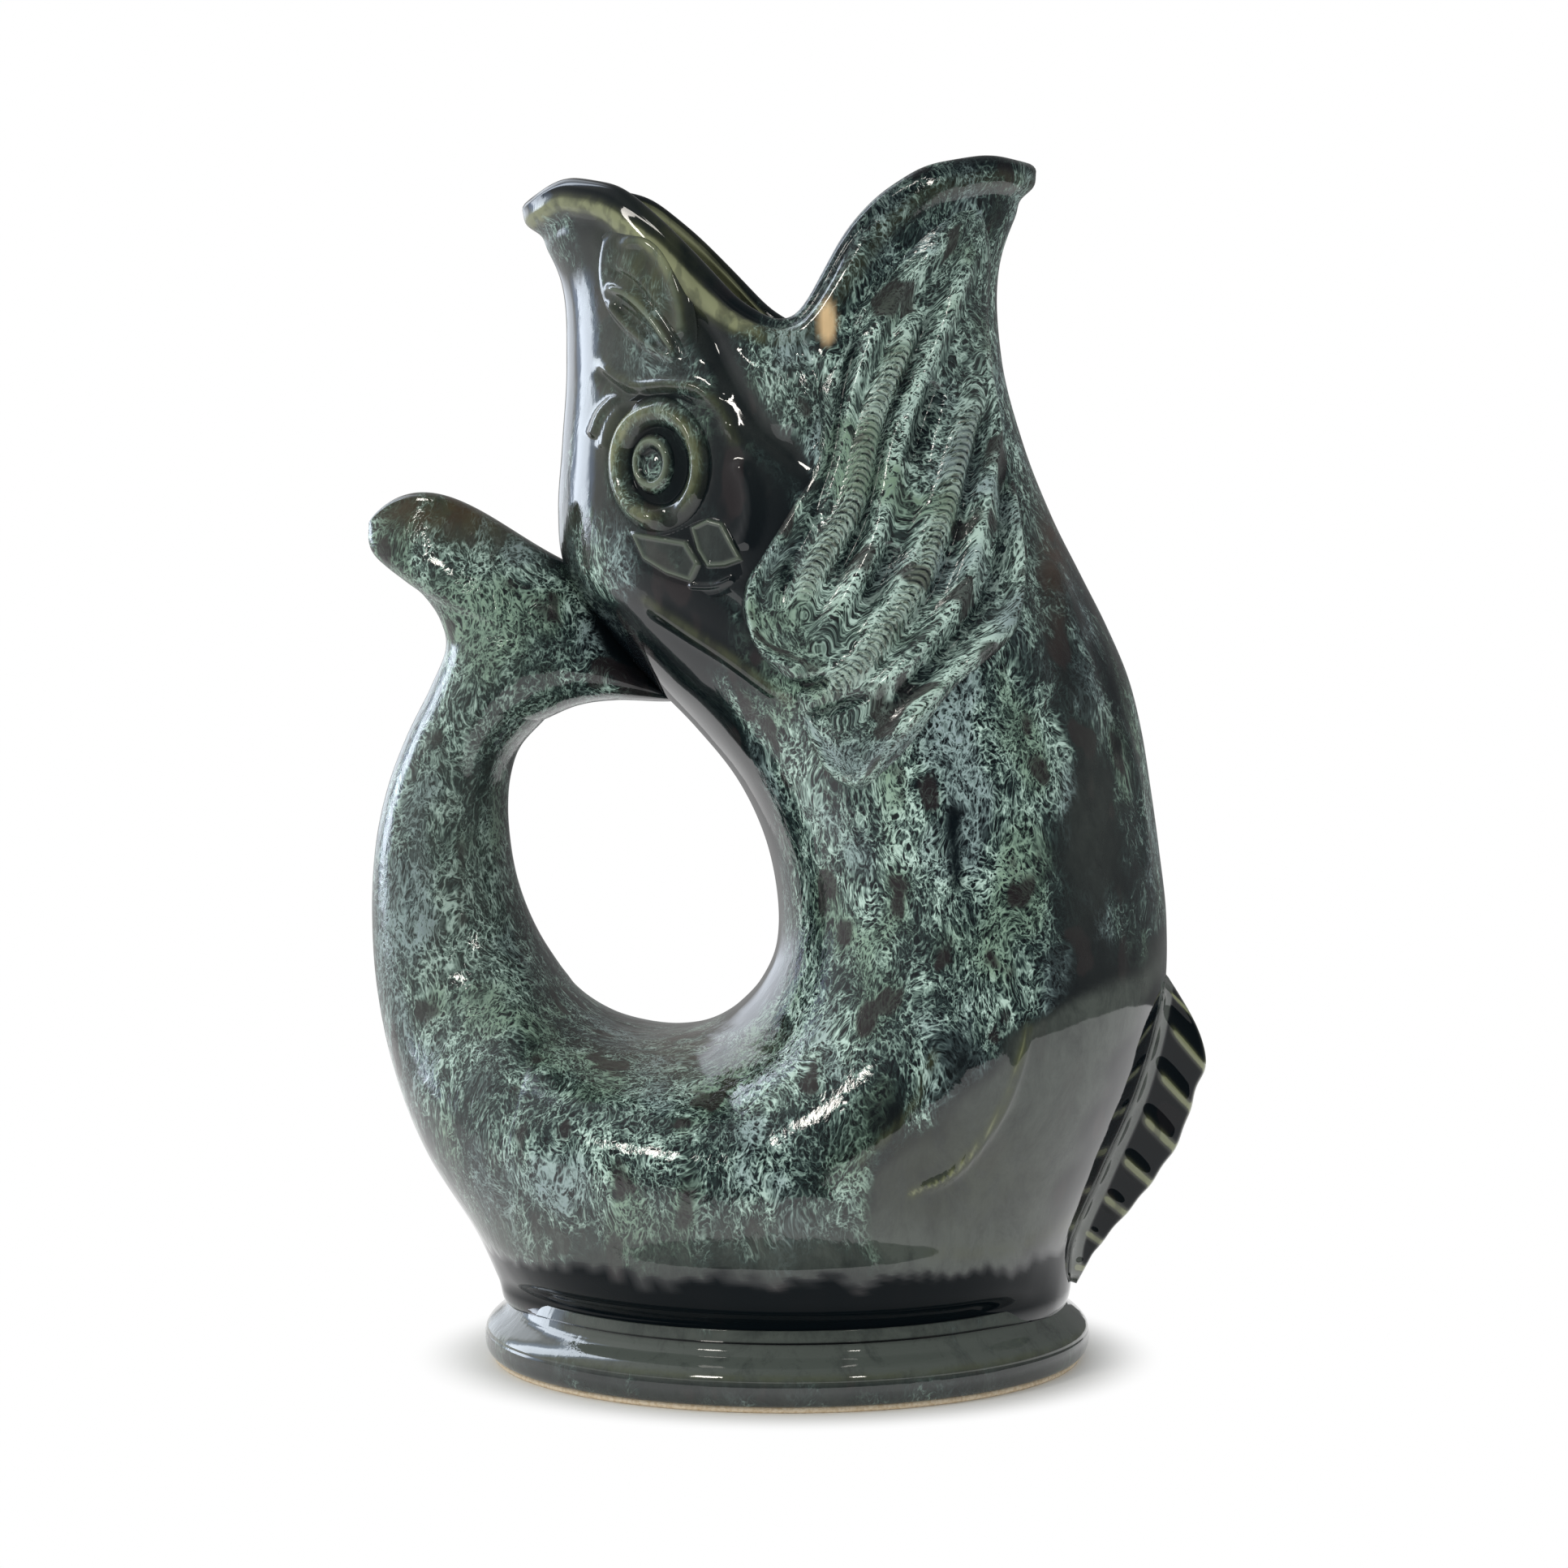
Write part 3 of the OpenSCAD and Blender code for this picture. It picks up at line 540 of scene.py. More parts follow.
# How the glaze lies, read on the photographed side in pixels: middle, reach and amount of each area
glazeAreas = {
    "fleckBase": 0.62,
    "fleck": [((1100, 1090), (190, 200), 0.40), ((1040, 930), (90, 60), 0.35),
              ((1150, 620), (140, 240), 0.30), ((840, 1440), (140, 80), 0.30),
              ((560, 760), (110, 80), 0.25), ((715, 720), (45, 60), 0.5), ((970, 500), (60, 60), 0.55),
              ((760, 330), (130, 150), -0.28), ((810, 580), (110, 130), -0.45),
              ((840, 730), (130, 90), -0.35), ((700, 500), (40, 250), -0.25),
              ((1345, 1040), (55, 150), -0.65), ((1250, 1440), (150, 150), -0.6),
              ((1000, 1585), (420, 46), -0.6), ((970, 1670), (420, 60), -0.85),
              ((500, 1500), (90, 110), -0.5), ((1400, 1350), (110, 200), -0.9),
              ((520, 640), (110, 45), -0.2), ((850, 1300), (120, 50), 0.25), ((730, 690), (40, 50), 0.4),
              ((1320, 700), (50, 160), -0.35), ((930, 620), (50, 120), -0.8),
              ((860, 790), (120, 50), -0.4), ((1060, 810), (110, 100), 0.5),
              ((1130, 640), (90, 120), 0.15), ((1160, 400), (90, 130), -0.25),
              ((540, 1100), (90, 240), 0.5)],
    "thin": [((845, 290), (70, 40), 0.55), ((800, 350), (50, 60), 0.55), ((745, 520), (30, 60), 0.4),
             ((850, 1290), (110, 60), 0.35), ((570, 630), (120, 36), 0.5), ((1180, 1450), (120, 80), 0.25)],
    "edge": [((850, 1285), (110, 35), 0.4), ((560, 625), (110, 26), 0.5), ((1300, 640), (18, 120), 0.5)],
    # Milky glaze, and on the dark right side a painted reflection of the room
    "milk": [((1345, 1010), (45, 170), 0.32), ((1290, 660), (30, 130), 0.3), ((960, 1545), (430, 46), 0.6),
             ((770, 420), (90, 170), 0.35), ((620, 650), (90, 40), 0.4), ((550, 1050), (120, 300), 0.45),
             ((960, 490), (60, 80), 0.3), ((600, 1540), (60, 60), 0.5)],
    # Lines of more or less of it: points, breadth and amount
    "fleckLines": [([(842, 290), (862, 380), (892, 450), (932, 520), (975, 560), (1000, 600)], 17, -0.8),
                   ([(1175, 1000), (1178, 1100)], 12, -0.8),
                   ([(790, 745), (880, 800), (960, 880)], 30, -0.35),
                   ([(700, 690), (760, 790), (830, 880), (900, 980)], 26, -0.5),
                   ([(620, 700), (560, 780), (520, 900)], 40, 0.15),
                   ([(800, 800), (868, 868), (922, 960), (946, 1070), (944, 1180), (912, 1245)], 20, -1.1)],
    # Creases darkened with pooled glaze and painted shade
    "poolLines": [([(842, 300), (862, 380), (892, 450), (932, 520), (975, 560)], 9, 0.2),
                  ([(1175, 1010), (1178, 1090)], 9, 0.9), ([(690, 688), (720, 728), (790, 840)], 10, 0.7),
                  ([(1350, 800), (1372, 860), (1378, 920)], 14, 0.7)],
    "thinLines": [([(1267, 1265), (1250, 1325), (1225, 1383), (1176, 1444), (1122, 1471)], 5, 0.95),
                  ([(1150, 1300), (1120, 1370), (1060, 1430)], 5, 0.5),
                  ([(1330, 1500), (1240, 1540), (1150, 1545)], 9, 0.35),
                  ([(795, 740), (850, 778), (900, 811), (971, 864)], 6, 0.6),
                  ([(733, 443), (777, 474), (820, 474), (858, 478), (888, 505), (905, 545)], 6, 0.5)],
    "bare": [((1019, 397), (13, 32), 1.0)],
    # A painted reflection of the pale table low on the belly: smooth grey, with few flecks and a wavy upper
    # edge
    "paintedTableReflection": [(1452, 1130), (1400, 1190), (1345, 1226), (1252, 1268), (1205, 1330), (1150, 1392),
                 (1090, 1440), (1062, 1500), (1100, 1568), (1215, 1588), (1262, 1556), (1300, 1480),
                 (1340, 1390), (1380, 1290), (1425, 1222)],
    "poolMiddle": (1280, 1360),
    "poolReach": 300,    # pixels each way from the middle in which the painted reflection is looked for
    "wave": 6,           # pixels that the pool's edge waves to and fro
}


def areaSum(pix, areas, base=0.0):
    # Sum of soft oval areas: amount times exp of minus the squared distance in shares of its reach
    total = np.full(pix.shape[:-1], base)
    for middle, reach, amount in areas:
        total += amount * np.exp(-(((pix - middle) / reach)**2).sum(-1))
    return total


def glazeMaps(points, flow=None, **extra):
    # The glaze's attributes at points in mm: the place in the noises, which run long down the jug, and the
    # shares of fleck, thin, edge, bare, pooled glaze with painted shade, milky glaze with painted reflection,
    # rib colour with painted highlight and bright, to which the extra values are added
    flat = points.reshape(-1, 3)
    pix = sidePixel(flat)
    maps = {
        "flow": flat * (1, 1, 0.62) if flow is None else flow.reshape(-1, 3),
        "fleck": areaSum(pix, glazeAreas["fleck"], glazeAreas["fleckBase"]),
        "thin": areaSum(pix, glazeAreas["thin"]),
        "edge": areaSum(pix, glazeAreas["edge"]),
        "bare": np.clip(2.2 * areaSum(pix, glazeAreas["bare"]) - 0.7, 0, 1) * (flat[:, 1] < 0),
        "pool": np.zeros(len(flat)),
        "milk": areaSum(pix, glazeAreas["milk"]),
        "rib": np.zeros(len(flat)),
        "bright": np.zeros(len(flat)),
    }
    for key in ("fleck", "pool", "thin"):
        for line, breadth, amount in glazeAreas[key + "Lines"]:
            maps[key] += amount * hump(lineDistance(pix, smoothLine(line, 4))[0], 0, breadth)
    # Painted reflection of the table: inside its wavy outline fewer flecks and more milky grey
    waved = pix + glazeAreas["wave"] * np.sin(pix[:, ::-1] / (11, 17) + pix / (41, 29))
    near = np.abs(pix - glazeAreas["poolMiddle"]).max(1) < glazeAreas["poolReach"]
    paintedTableReflection = np.zeros(len(flat))
    paintedTableReflection[near] = smooth(insideDistance(waved[near], np.array(glazeAreas["paintedTableReflection"], float)), -10, 14)
    maps["fleck"] -= 0.75 * paintedTableReflection
    maps["milk"] += (0.4 + 0.4 * smooth(pix[:, 0], 1120, 1330)) * paintedTableReflection
    for key, values in extra.items():
        maps[key] = maps[key] + values.reshape(-1)
    return maps


def oval(middle, reach, count=96):
    # Points round an oval: middle plus reach times cosine and sine
    a = np.linspace(0, 2 * np.pi, count, endpoint=False)
    return np.stack([middle[0] + reach[0] * np.cos(a), middle[1] + reach[1] * np.sin(a)], 1)


def tracedLine(pix, points):
    # Each pixel's distance from a smooth line through points, its share along it, and that share in pixels
    line = smoothLine(points)
    d, along = lineDistance(pix, line)
    return d, along, along * np.linalg.norm(np.diff(line, axis=0), axis=1).sum()


def cordWave(d, run, pitch):
    # The twist of a cord: the cosine of one turn a pitch, bent back by the squared distance from its middle
    return np.cos(2 * np.pi * (run - 0.03 * d**2) / pitch)


def lineRelief(pix, lines):
    # Sum of ridges and grooves along lines: points, width in pixels, height in mm, and a cord's pitch if any
    total = np.zeros(pix.shape[:-1])
    for points, breadth, height, *pitch in lines:
        d, along, run = tracedLine(pix, points)
        shape = hump(d, 0, breadth) * smooth(along, -0.01, 0.12) * smooth(along, 1.01, 0.88)
        if pitch:
            shape = shape * (0.87 + 0.13 * cordWave(d, run, pitch[0]))
        total += height * shape
    return total


# Outlines of the moulded details in pixels, as a left and a right edge from top to bottom
gillLeft = smoothLine([(1215, 252), (1170, 262), (1120, 300), (1072, 355), (1034, 425), (1010, 480),
                       (1012, 530), (1000, 575), (972, 625), (938, 680), (914, 722), (918, 778),
                       (940, 818), (972, 858), (984, 892), (998, 925), (1026, 965), (1062, 980)], 12)
gillRight = smoothLine([(1215, 252), (1228, 310), (1226, 400), (1236, 500), (1256, 600), (1268, 695),
                        (1263, 765), (1240, 802), (1180, 852), (1117, 932), (1062, 980)], 20)
eyeOval = (812, 573), (74, 93)
eyeOutline = oval(*eyeOval)
snoutOutline = smoothLine([(738, 296), (775, 276), (815, 296), (845, 345), (858, 410), (846, 462), (800, 446),
                           (752, 400), (732, 350)], 12, closed=True)
cheekOutline = smoothLine([(768, 650), (815, 650), (865, 630), (896, 635), (922, 690), (915, 722), (870, 736),
                           (820, 726), (780, 700)], 12, closed=True)
gillOutline = np.vstack([gillLeft, gillRight[-2:0:-1]])
pressed = [gillOutline, eyeOutline, snoutOutline, cheekOutline]

# Soft creases and swells of the body itself: points and width in pixels, height in mm
bodyLines = [
    ([(842, 300), (862, 380), (892, 450), (932, 520), (975, 560), (1000, 590)], 15, -1.6),
    ([(980, 407), (1008, 463), (1014, 500), (1008, 560)], 9, -1.2),
    ([(905, 400), (950, 470), (985, 530)], 26, 0.9),
    ([(733, 443), (777, 474), (820, 474), (858, 478), (888, 505), (905, 545)], 7, 1.1),
    ([(733, 456), (775, 488), (826, 487), (868, 500)], 7, -0.7),
    ([(905, 565), (922, 600), (924, 640), (912, 680)], 9, 1.0),
    ([(729, 540), (742, 508), (762, 488)], 6, 0.9),
    ([(742, 555), (752, 520), (770, 498)], 6, 0.6),
    ([(893, 520), (910, 548), (935, 566)], 6, 0.45),
    ([(870, 440), (880, 468), (893, 492)], 6, 0.4),
    ([(795, 740), (850, 778), (900, 811), (971, 864)], 9, 1.0),
    ([(870, 720), (905, 745), (925, 770)], 10, -0.8),
    ([(1290, 680), (1318, 760), (1338, 830), (1345, 900), (1320, 935)], 12, 0.9),
    ([(1262, 660), (1290, 760), (1305, 850), (1280, 900)], 12, -0.8),
    ([(1385, 890), (1405, 980), (1415, 1080)], 6, 0.5),
    ([(1267, 1265), (1250, 1330), (1225, 1383), (1176, 1444), (1122, 1471)], 6, 1.0),
]


def bodyRelief(points):
    # Height in mm of the body's creases and swells, and of the hollows pressed in under the raised pieces
    pix, depth = sidePixel(points), 1.6
    covered = np.max([smooth(insideDistance(pix, outline), 8, 24) for outline in pressed], axis=0)
    return lineRelief(pix, bodyLines) * (1 - covered) - depth * covered


# Body: one closed skin, outside down over the floor to the tail's root, back up inside, and over the
# rolled lip
body = {
    "columns": 148,       # steps down one side
    "headEnd": 7.2,       # row where the fine upper half meets the lower half
    "tailRows": 130,      # along the outside of the tail, and along its inside
    "tailInnerRows": 50,
    "floorColumns": 14,   # across the flat floor, where a row opens out
    "lipSteps": 10,
    "lipRise": 1.8,       # mm that the rounded lip stands above the rim line
    "beadRise": 0.9,      # mm, the rolled bead under the lip
    "beadAt": 2.6,        # mm below the rim
    "beadWidth": 2.1,
    "dentRise": -0.5,     # mm, the soft line under the bead
    "dentAt": 6.8,
    "dentWidth": 1.8,
    "rimRows": 80,        # rows that the bead and its line can reach
    "hang": (1.3, 26.5, 5),         # the belly's overhang on both sides: mm out, height and reach
    "undercut": (-2.9, 14.6, 3.6),  # the deep waist under it
    "paintedShadeFrom": (26.4, 23.8),       # mm up, where the painted shade in the waist starts
    "paintedShadeTo": (12.5, 15),           # and ends
}
phi, sideSign = ringAngles(body["columns"])


def stretches(rowsAt, counts):
    # Places along the rows, evenly spaced from each row given to the next, with a count for each stretch
    parts = [np.linspace(a, b, n)[:-1] for a, b, n in zip(rowsAt, rowsAt[1:], counts)]
    return np.append(np.concatenate(parts), rowsAt[-1])


outerPlaces = stretches([0, 1, body["headEnd"], 13, floorStart, floorEnd, joinRow], [40, 205, 76, 50, 56, 36])
innerPlaces = stretches([joinRow, floorEnd, floorStart, body["headEnd"], 0.5, 0], [8, 20, 20, 24, 16])
tailPlaces = np.linspace(joinRow, lastRow, body["tailRows"])[1:]
headOuter, headInner = (int((places <= body["headEnd"]).sum()) for places in (outerPlaces, innerPlaces))


def skinGrid(places, inset):
    # The jug's skin at these places along the rows, at every angle round
    return skin(places[:, None], phi[None, :], sideSign[None, :], inset)


def rimDistance(points, rim):
    # Distance in mm from points to the rim's right half
    best = np.full(points.shape[:-1], 1e9)
    for a, b in zip(rim[:-1], rim[1:]):
        step = b - a
        t = np.clip(((points - a) @ step) / max(step @ step, 1e-9), 0, 1)
        best = np.minimum(best, np.linalg.norm(points - a - t[..., None] * step, axis=-1))
    return best


def withFloor(grid):
    # Adds the columns that cross the floor between a row's last and first points
    t = np.linspace(0, 1, body["floorColumns"] + 2)[1:-1, None]
    return np.concatenate([grid, grid[:, -1:] * (1 - t) + grid[:, :1] * t], 1)


outer = skinGrid(np.concatenate([outerPlaces, tailPlaces]), 0.0)
outward = gridNormals(outer)
rimRows = body["rimRows"]
rightSide = outer[:rimRows] * np.where(outer[:rimRows, :, 1:2] > 0, (1, -1, 1), 1)
fromRim = rimDistance(rightSide, outer[0, :body["columns"] + 1])
lift = bodyRelief(outer)
lift[:rimRows] = (lift[:rimRows] * smooth(fromRim, 2, 9)
                  + body["beadRise"] * hump(fromRim, body["beadAt"], body["beadWidth"])
                  + body["dentRise"] * hump(fromRim, body["dentAt"], body["dentWidth"]))
# The belly hangs over a deep waist on both sides, which is painted dark further down
facing = smooth(np.abs(outer[..., 1]) / np.hypot(outer[..., 0], outer[..., 1]).clip(1e-6), 0.25, 0.7)
for out, level, reach in (body["hang"], body["undercut"]):
    lift += facing * out * hump(outer[..., 2], level, reach)
outer = outer + outward * lift[..., None]
outward = gridNormals(outer)
innerFromLip = 15 * innerPlaces
innerBead = body["beadRise"] * hump(innerFromLip, body["beadAt"], body["beadWidth"])
inner = skinGrid(innerPlaces, (jug["wall"] + 1.3 * innerBead)[:, None])
inward = gridNormals(inner)

# The rounded lip: half a turn from the inner rim up and over to the outer one
rimOut, rimIn = outer[0], inner[-1]
tangent = np.roll(rimOut[:-1], -1, 0) - np.roll(rimOut[:-1], 1, 0)
tangent = np.vstack([tangent, tangent[:1]])
up = unit(-np.cross(tangent, rimIn - rimOut))
angles = np.pi * np.arange(1, body["lipSteps"])[:, None, None] / body["lipSteps"]
lip = (rimIn + (rimOut - rimIn) * (1 - np.cos(angles)) / 2 + body["lipRise"] * up * np.sin(angles))
lipNormals = unit(unit(rimOut - rimIn) * -np.cos(angles) + up * np.sin(angles) * 1.2)

bodyOuter = len(outerPlaces)
bodyGrid = np.concatenate([withFloor(outer[:bodyOuter]), withFloor(inner), withFloor(lip)])
bodyNormals = np.concatenate([withFloor(outward[:bodyOuter]), withFloor(inward), withFloor(lipNormals)])
wide = 2 * body["columns"] + 1
openRow = np.linalg.norm(bodyGrid[:, wide - 1] - bodyGrid[:, 0], axis=-1) > 0.01
isOuter = np.arange(len(bodyGrid)) < bodyOuter
bodyNormals[openRow & isOuter, wide:] = (0, 0, -1)
bodyNormals[openRow & ~isOuter, wide:] = (0, 0, 1)

# Glaze on the body: thin and olive along the lip, mostly on the upper jaw, painted olive inside the mouth as
# painted light, painted dark in the waist with a ragged edge as painted shade and reflection of the dark
# foot, and never bare inside
lipStart = len(bodyGrid) - len(lip)
innerRows = slice(bodyOuter, lipStart)
x, y, z = np.moveaxis(bodyGrid, -1, 0)
fromLip = np.full(x.shape, 99.0)
fromLip[:rimRows, :wide] = fromRim
fromLip[innerRows] = innerFromLip[:, None]
fromLip[lipStart:] = 0
upperJaw = smooth(-x, -4, 6)
olive = 1.1 * np.exp(-((fromLip - 3.1) / 2.0)**4) * (0.25 + 0.75 * upperJaw)
# Inside the mouth, near the lip, the wall is painted olive as painted light over the shade in there
olive[innerRows] = 1.2 * hump(fromLip[innerRows], 0, 12)
inside = np.zeros(x.shape)
inside[innerRows] = 1
ragged = 1.2 * np.sin(0.31 * x + 0.2 * y) + 0.9 * np.sin(0.93 * x - 0.6 * y) + 0.5 * np.sin(2.3 * x)
# Painted shade: a dark band in the waist with a ragged edge, for the shade under the belly and the reflection
# of the dark foot
paintedWaistShade = smooth(z + 0.9 * ragged, *body["paintedShadeFrom"]) * smooth(z, *body["paintedShadeTo"])
bodyGlaze = {
    "thin": olive,
    "milk": -1.6 * paintedWaistShade,
    "bare": -1.0 * inside,
    "fleck": -0.1 * inside - 0.5 * hump(fromLip, 0, 3) * upperJaw - 0.8 * paintedWaistShade,
    # At the lip's edge the glaze darkens as pooled glaze and painted shade, and in the waist as painted shade
    "pool": 0.6 * hump(fromLip, 0, 1.3) + 0.95 * paintedWaistShade,
}
for name, kept in (("upperBody", np.r_[0:headOuter, lipStart - headInner:len(bodyGrid)]),
                   ("lowerBody", np.r_[headOuter - 1:lipStart - headInner + 1])):
    maps = glazeMaps(bodyGrid[kept], **{key: values[kept] for key, values in bodyGlaze.items()})
    dress(makeMesh(name, bodyGrid[kept], maps, unit(bodyNormals[kept]), loop=True),
          glazeMaterial, "mottled_glaze", "body_shell")


def closedEnds(grid):
    # A grid with its first and last rows drawn together to their middles
    ends = [np.broadcast_to(row.mean(0), (1,) + row.shape) for row in (grid[0], grid[-1])]
    return np.concatenate([ends[0], grid, ends[1]])


# Tail: the hollow handle, one closed skin from its inner end down to the root and back up outside
tailInner = skinGrid(np.linspace(lastRow - 1, joinRow, body["tailInnerRows"]), jug["wall"])
tailGrid = closedEnds(np.concatenate([tailInner, outer[bodyOuter - 1:]]))
tailNormals = np.concatenate([gridNormals(tailInner)[:1], gridNormals(tailInner), outward[bodyOuter - 1:],
                              outward[-1:]])
dress(makeMesh("tailHandle", tailGrid, glazeMaps(tailGrid), tailNormals),
      glazeMaterial, "mottled_glaze", "tail_handle")


# Fluke: from the tail's last row over two free rows to six that rest on the back of the head
fluke = {
    "arch": 6.6,       # mm that the last row arches up, and how far its highest point leans outwards
    "leanOut": 0.9,
    "blunt": 0.2,      # how much its inner half squares off against the head
    "sunk": 2.0,       # mm that it reaches into the head
    "steps": 130,
    "domeRise": 1.6,   # mm, the rounded top
    "domeRows": 8,
}
flukeFree = np.array([[-0.497, 0.522, -0.816, 0.571, 0.25], [-0.400, 0.527, -0.829, 0.597, 0.25]])
flukeRest = np.array([[-0.871, 0.619, 0.24], [-0.914, 0.631, 0.23], [-0.955, 0.642, 0.21],
                      [-0.988, 0.653, 0.18], [-1.003, 0.665, 0.13], [-1.003, 0.681, 0.07]])


def flukeRing(innerEnd, outerEnd, half, blunt, rise):
    # One row: an ellipse between its ends, squared off towards the head, raised by rise times 1 less p
    # squared and leaned outwards, where p is the cosine of the angle
    p = np.cos(phi)[:, None]
    q = (innerEnd * (1 - p) + outerEnd * (1 + p)) / 2
    power = 1 - 2 * blunt * smooth(-p[:, 0], -0.2, 0.2)
    y = sideSign * half * np.abs(np.sin(phi))**power
    return np.stack([q[:, 0], y, q[:, 1] + rise * ((1 - p**2) * (1 + fluke["leanOut"] * p))[:, 0]], -1)


restRows = curve(rows, 7.5 - 0.5 * np.arange(len(flukeRest)))
headBack = restRows[:, :2] + fluke["sunk"] * unit(restRows[:, 2:4] - restRows[:, :2])
flukeRings = [outer[-1]]
for k, shares in enumerate(flukeFree):
    flukeRings.append(flukeRing(place(shares[0], shares[1]), place(shares[2], shares[3]),
                                shares[4] * jug["width"] / 2, fluke["blunt"] * (k + 1) / 3, 0))
for k, shares in enumerate(flukeRest):
    flukeRings.append(flukeRing(headBack[k], place(shares[0], shares[1]), shares[2] * jug["width"] / 2,
                                fluke["blunt"], fluke["arch"] * (k / (len(flukeRest) - 1))**2))
flukeTable = np.array(flukeRings).reshape(len(flukeRings), -1)
flukeSteps = np.linspace(0, len(flukeRings) - 1, fluke["steps"])
flukeGrid = curve(flukeTable, flukeSteps).reshape(fluke["steps"], -1, 3)
last = flukeGrid[-1]
turn = np.linspace(0, np.pi / 2, fluke["domeRows"] + 1)[1:, None, None]
crown = np.array([-0.35, 0, 0.94]) * fluke["domeRise"]
narrow = np.stack([last[:, 0], last[:, 1] * 0, last[:, 2]], -1)
dome = narrow + (last - narrow) * np.cos(turn) + crown * np.sin(turn) * np.sin(phi)[:, None]
flukeGrid = np.concatenate([closedEnds(flukeGrid)[:-1], dome])
dress(makeMesh("tailFluke", flukeGrid, glazeMaps(flukeGrid)), glazeMaterial, "mottled_glaze", "tail_fluke")


# Belly fin: eight raised rays with thin webs between them, a soft fillet at the root and a rounded edge
fin = {
    "length": 13.2,
    "sweep": 42,        # degrees that a ray leans down
    "rootHalf": 3.2,    # half the thickness at the root and at the edge
    "edgeHalf": 1.3,
    "fillet": 2.4,
    "rayRise": 0.85,
    "rays": 8,
    "along": 360,
    "across": 46,
    "sunk": 1.6,        # mm that the root reaches into the belly
    "notch": 0.03,      # share of its length that the edge dips between rays
}
# Row of the jug, length and lean of the rays there, as shares
finShares = np.array([[11.7, 0.06, 1], [12, 1, 1], [12.6, 0.97, 0.8], [13.2, 0.93, 0.6], [13.8, 0.78, 0.48],
                      [14.4, 0.58, 0.4], [15, 0.38, 0.5], [15.6, 0.1, 0.5]])
finStep = np.linspace(0, 1, fin["along"])
finRows = curve(finShares, finStep * (len(finShares) - 1))
edgeHere = curve(rows, finRows[:, 0])[:, 2:4]
edgeStep = curve(rows, finRows[:, 0] + 0.125)[:, 2:4] - curve(rows, finRows[:, 0] - 0.125)[:, 2:4]
finOut = unit(np.stack([-edgeStep[:, 1], edgeStep[:, 0]], -1))
sweep = np.radians(fin["sweep"] * finRows[:, 2])
ray = np.stack([finOut[:, 0] * np.cos(sweep) + finOut[:, 1] * np.sin(sweep),
                finOut[:, 1] * np.cos(sweep) - finOut[:, 0] * np.sin(sweep)], -1)
crest = (1 - np.cos(2 * np.pi * fin["rays"] * finStep)) / 2
reach = fin["length"] * finRows[:, 1] * (1 - fin["notch"] * (1 - crest))
acrossFin = np.linspace(0, 1, fin["across"])[None, :]
acrossMm = -fin["sunk"] + acrossFin * (reach[:, None] + fin["sunk"])
share = np.clip(acrossMm / reach[:, None], 0, 1)
half = (fin["rootHalf"] * (1 - share) + fin["edgeHalf"] * share
        + fin["fillet"] * np.exp(-np.clip(acrossMm, 0, None) / 1.3)
        + fin["rayRise"] * (crest[:, None]**1.6 - 0.25) * np.sin(np.pi * np.clip(share, 0, 1)**0.8)**0.7)
ends = np.minimum(smooth(finStep, 0, 0.03), smooth(finStep, 1, 0.96))[:, None]
rounded = np.sqrt(np.clip(1 - (np.clip(share - 0.86, 0, None) / 0.14)**2, 0.0, None))
half = half * rounded * (0.25 + 0.75 * ends)
finPlane = edgeHere[:, None, :] + ray[:, None, :] * acrossMm[..., None]
finSide = np.stack([finPlane[..., 0], -half, finPlane[..., 1]], -1)
finGrid = closedEnds(np.concatenate([finSide, finSide[:, ::-1] * np.array([1, -1, 1])], 1))
rayThin = crest[:, None]**10 * smooth(share, 0.15, 0.4) * 1.6 + smooth(share, 0.95, 0.99) * 0.8
rayThin, finRoot = (
    np.pad(np.concatenate([values, values[:, ::-1]], 1), ((1, 1), (0, 0)), mode="edge")
    for values in (rayThin, smooth(acrossMm, 2.6, 1.9)))
# The webs between rays are darkened as pooled glaze and painted shade
finMaps = glazeMaps(finGrid, thin=rayThin, fleck=np.full(rayThin.shape, -0.6), milk=1.9 * finRoot - 1.0,
                    pool=0.6 * smooth(rayThin, 0.5, 0.0) * (1 - finRoot) - 1.0 * finRoot)
dress(makeMesh("bellyFin", finGrid, finMaps), glazeMaterial, "dark_glaze", "ventral_fin")


# Foot: a waist fillet, a long slope down to a small ridge, and the nose of the flange; open underneath
foot = {
    "innerRadius": 49.1,
    "flange": 60.9,      # radius of the nose
    "level": 4.6,        # mm up, the middle of the nose
    "bare": 1.2,         # mm up, where the glaze starts
    "inset": 1.8,        # mm that the flange's underside is smaller than the nose
    "ridge": 0.12,       # mm deep, the line over the nose
    "top": 14.9,
    "around": 420,
    "rimAround": 360,
    "rimCorner": 0.5,    # mm, radius of the clay ring's outer edge
    "rimBevel": 0.3,
}


def revolve(profile, count):
    # A profile of radius and height turned round the upright axis
    a = np.linspace(0, 2 * np.pi, count, endpoint=False)[:, None]
    heights = np.broadcast_to(profile[:, 1], (count, len(profile)))
    return np.stack([profile[:, 0] * np.cos(a), profile[:, 0] * np.sin(a), heights], -1)


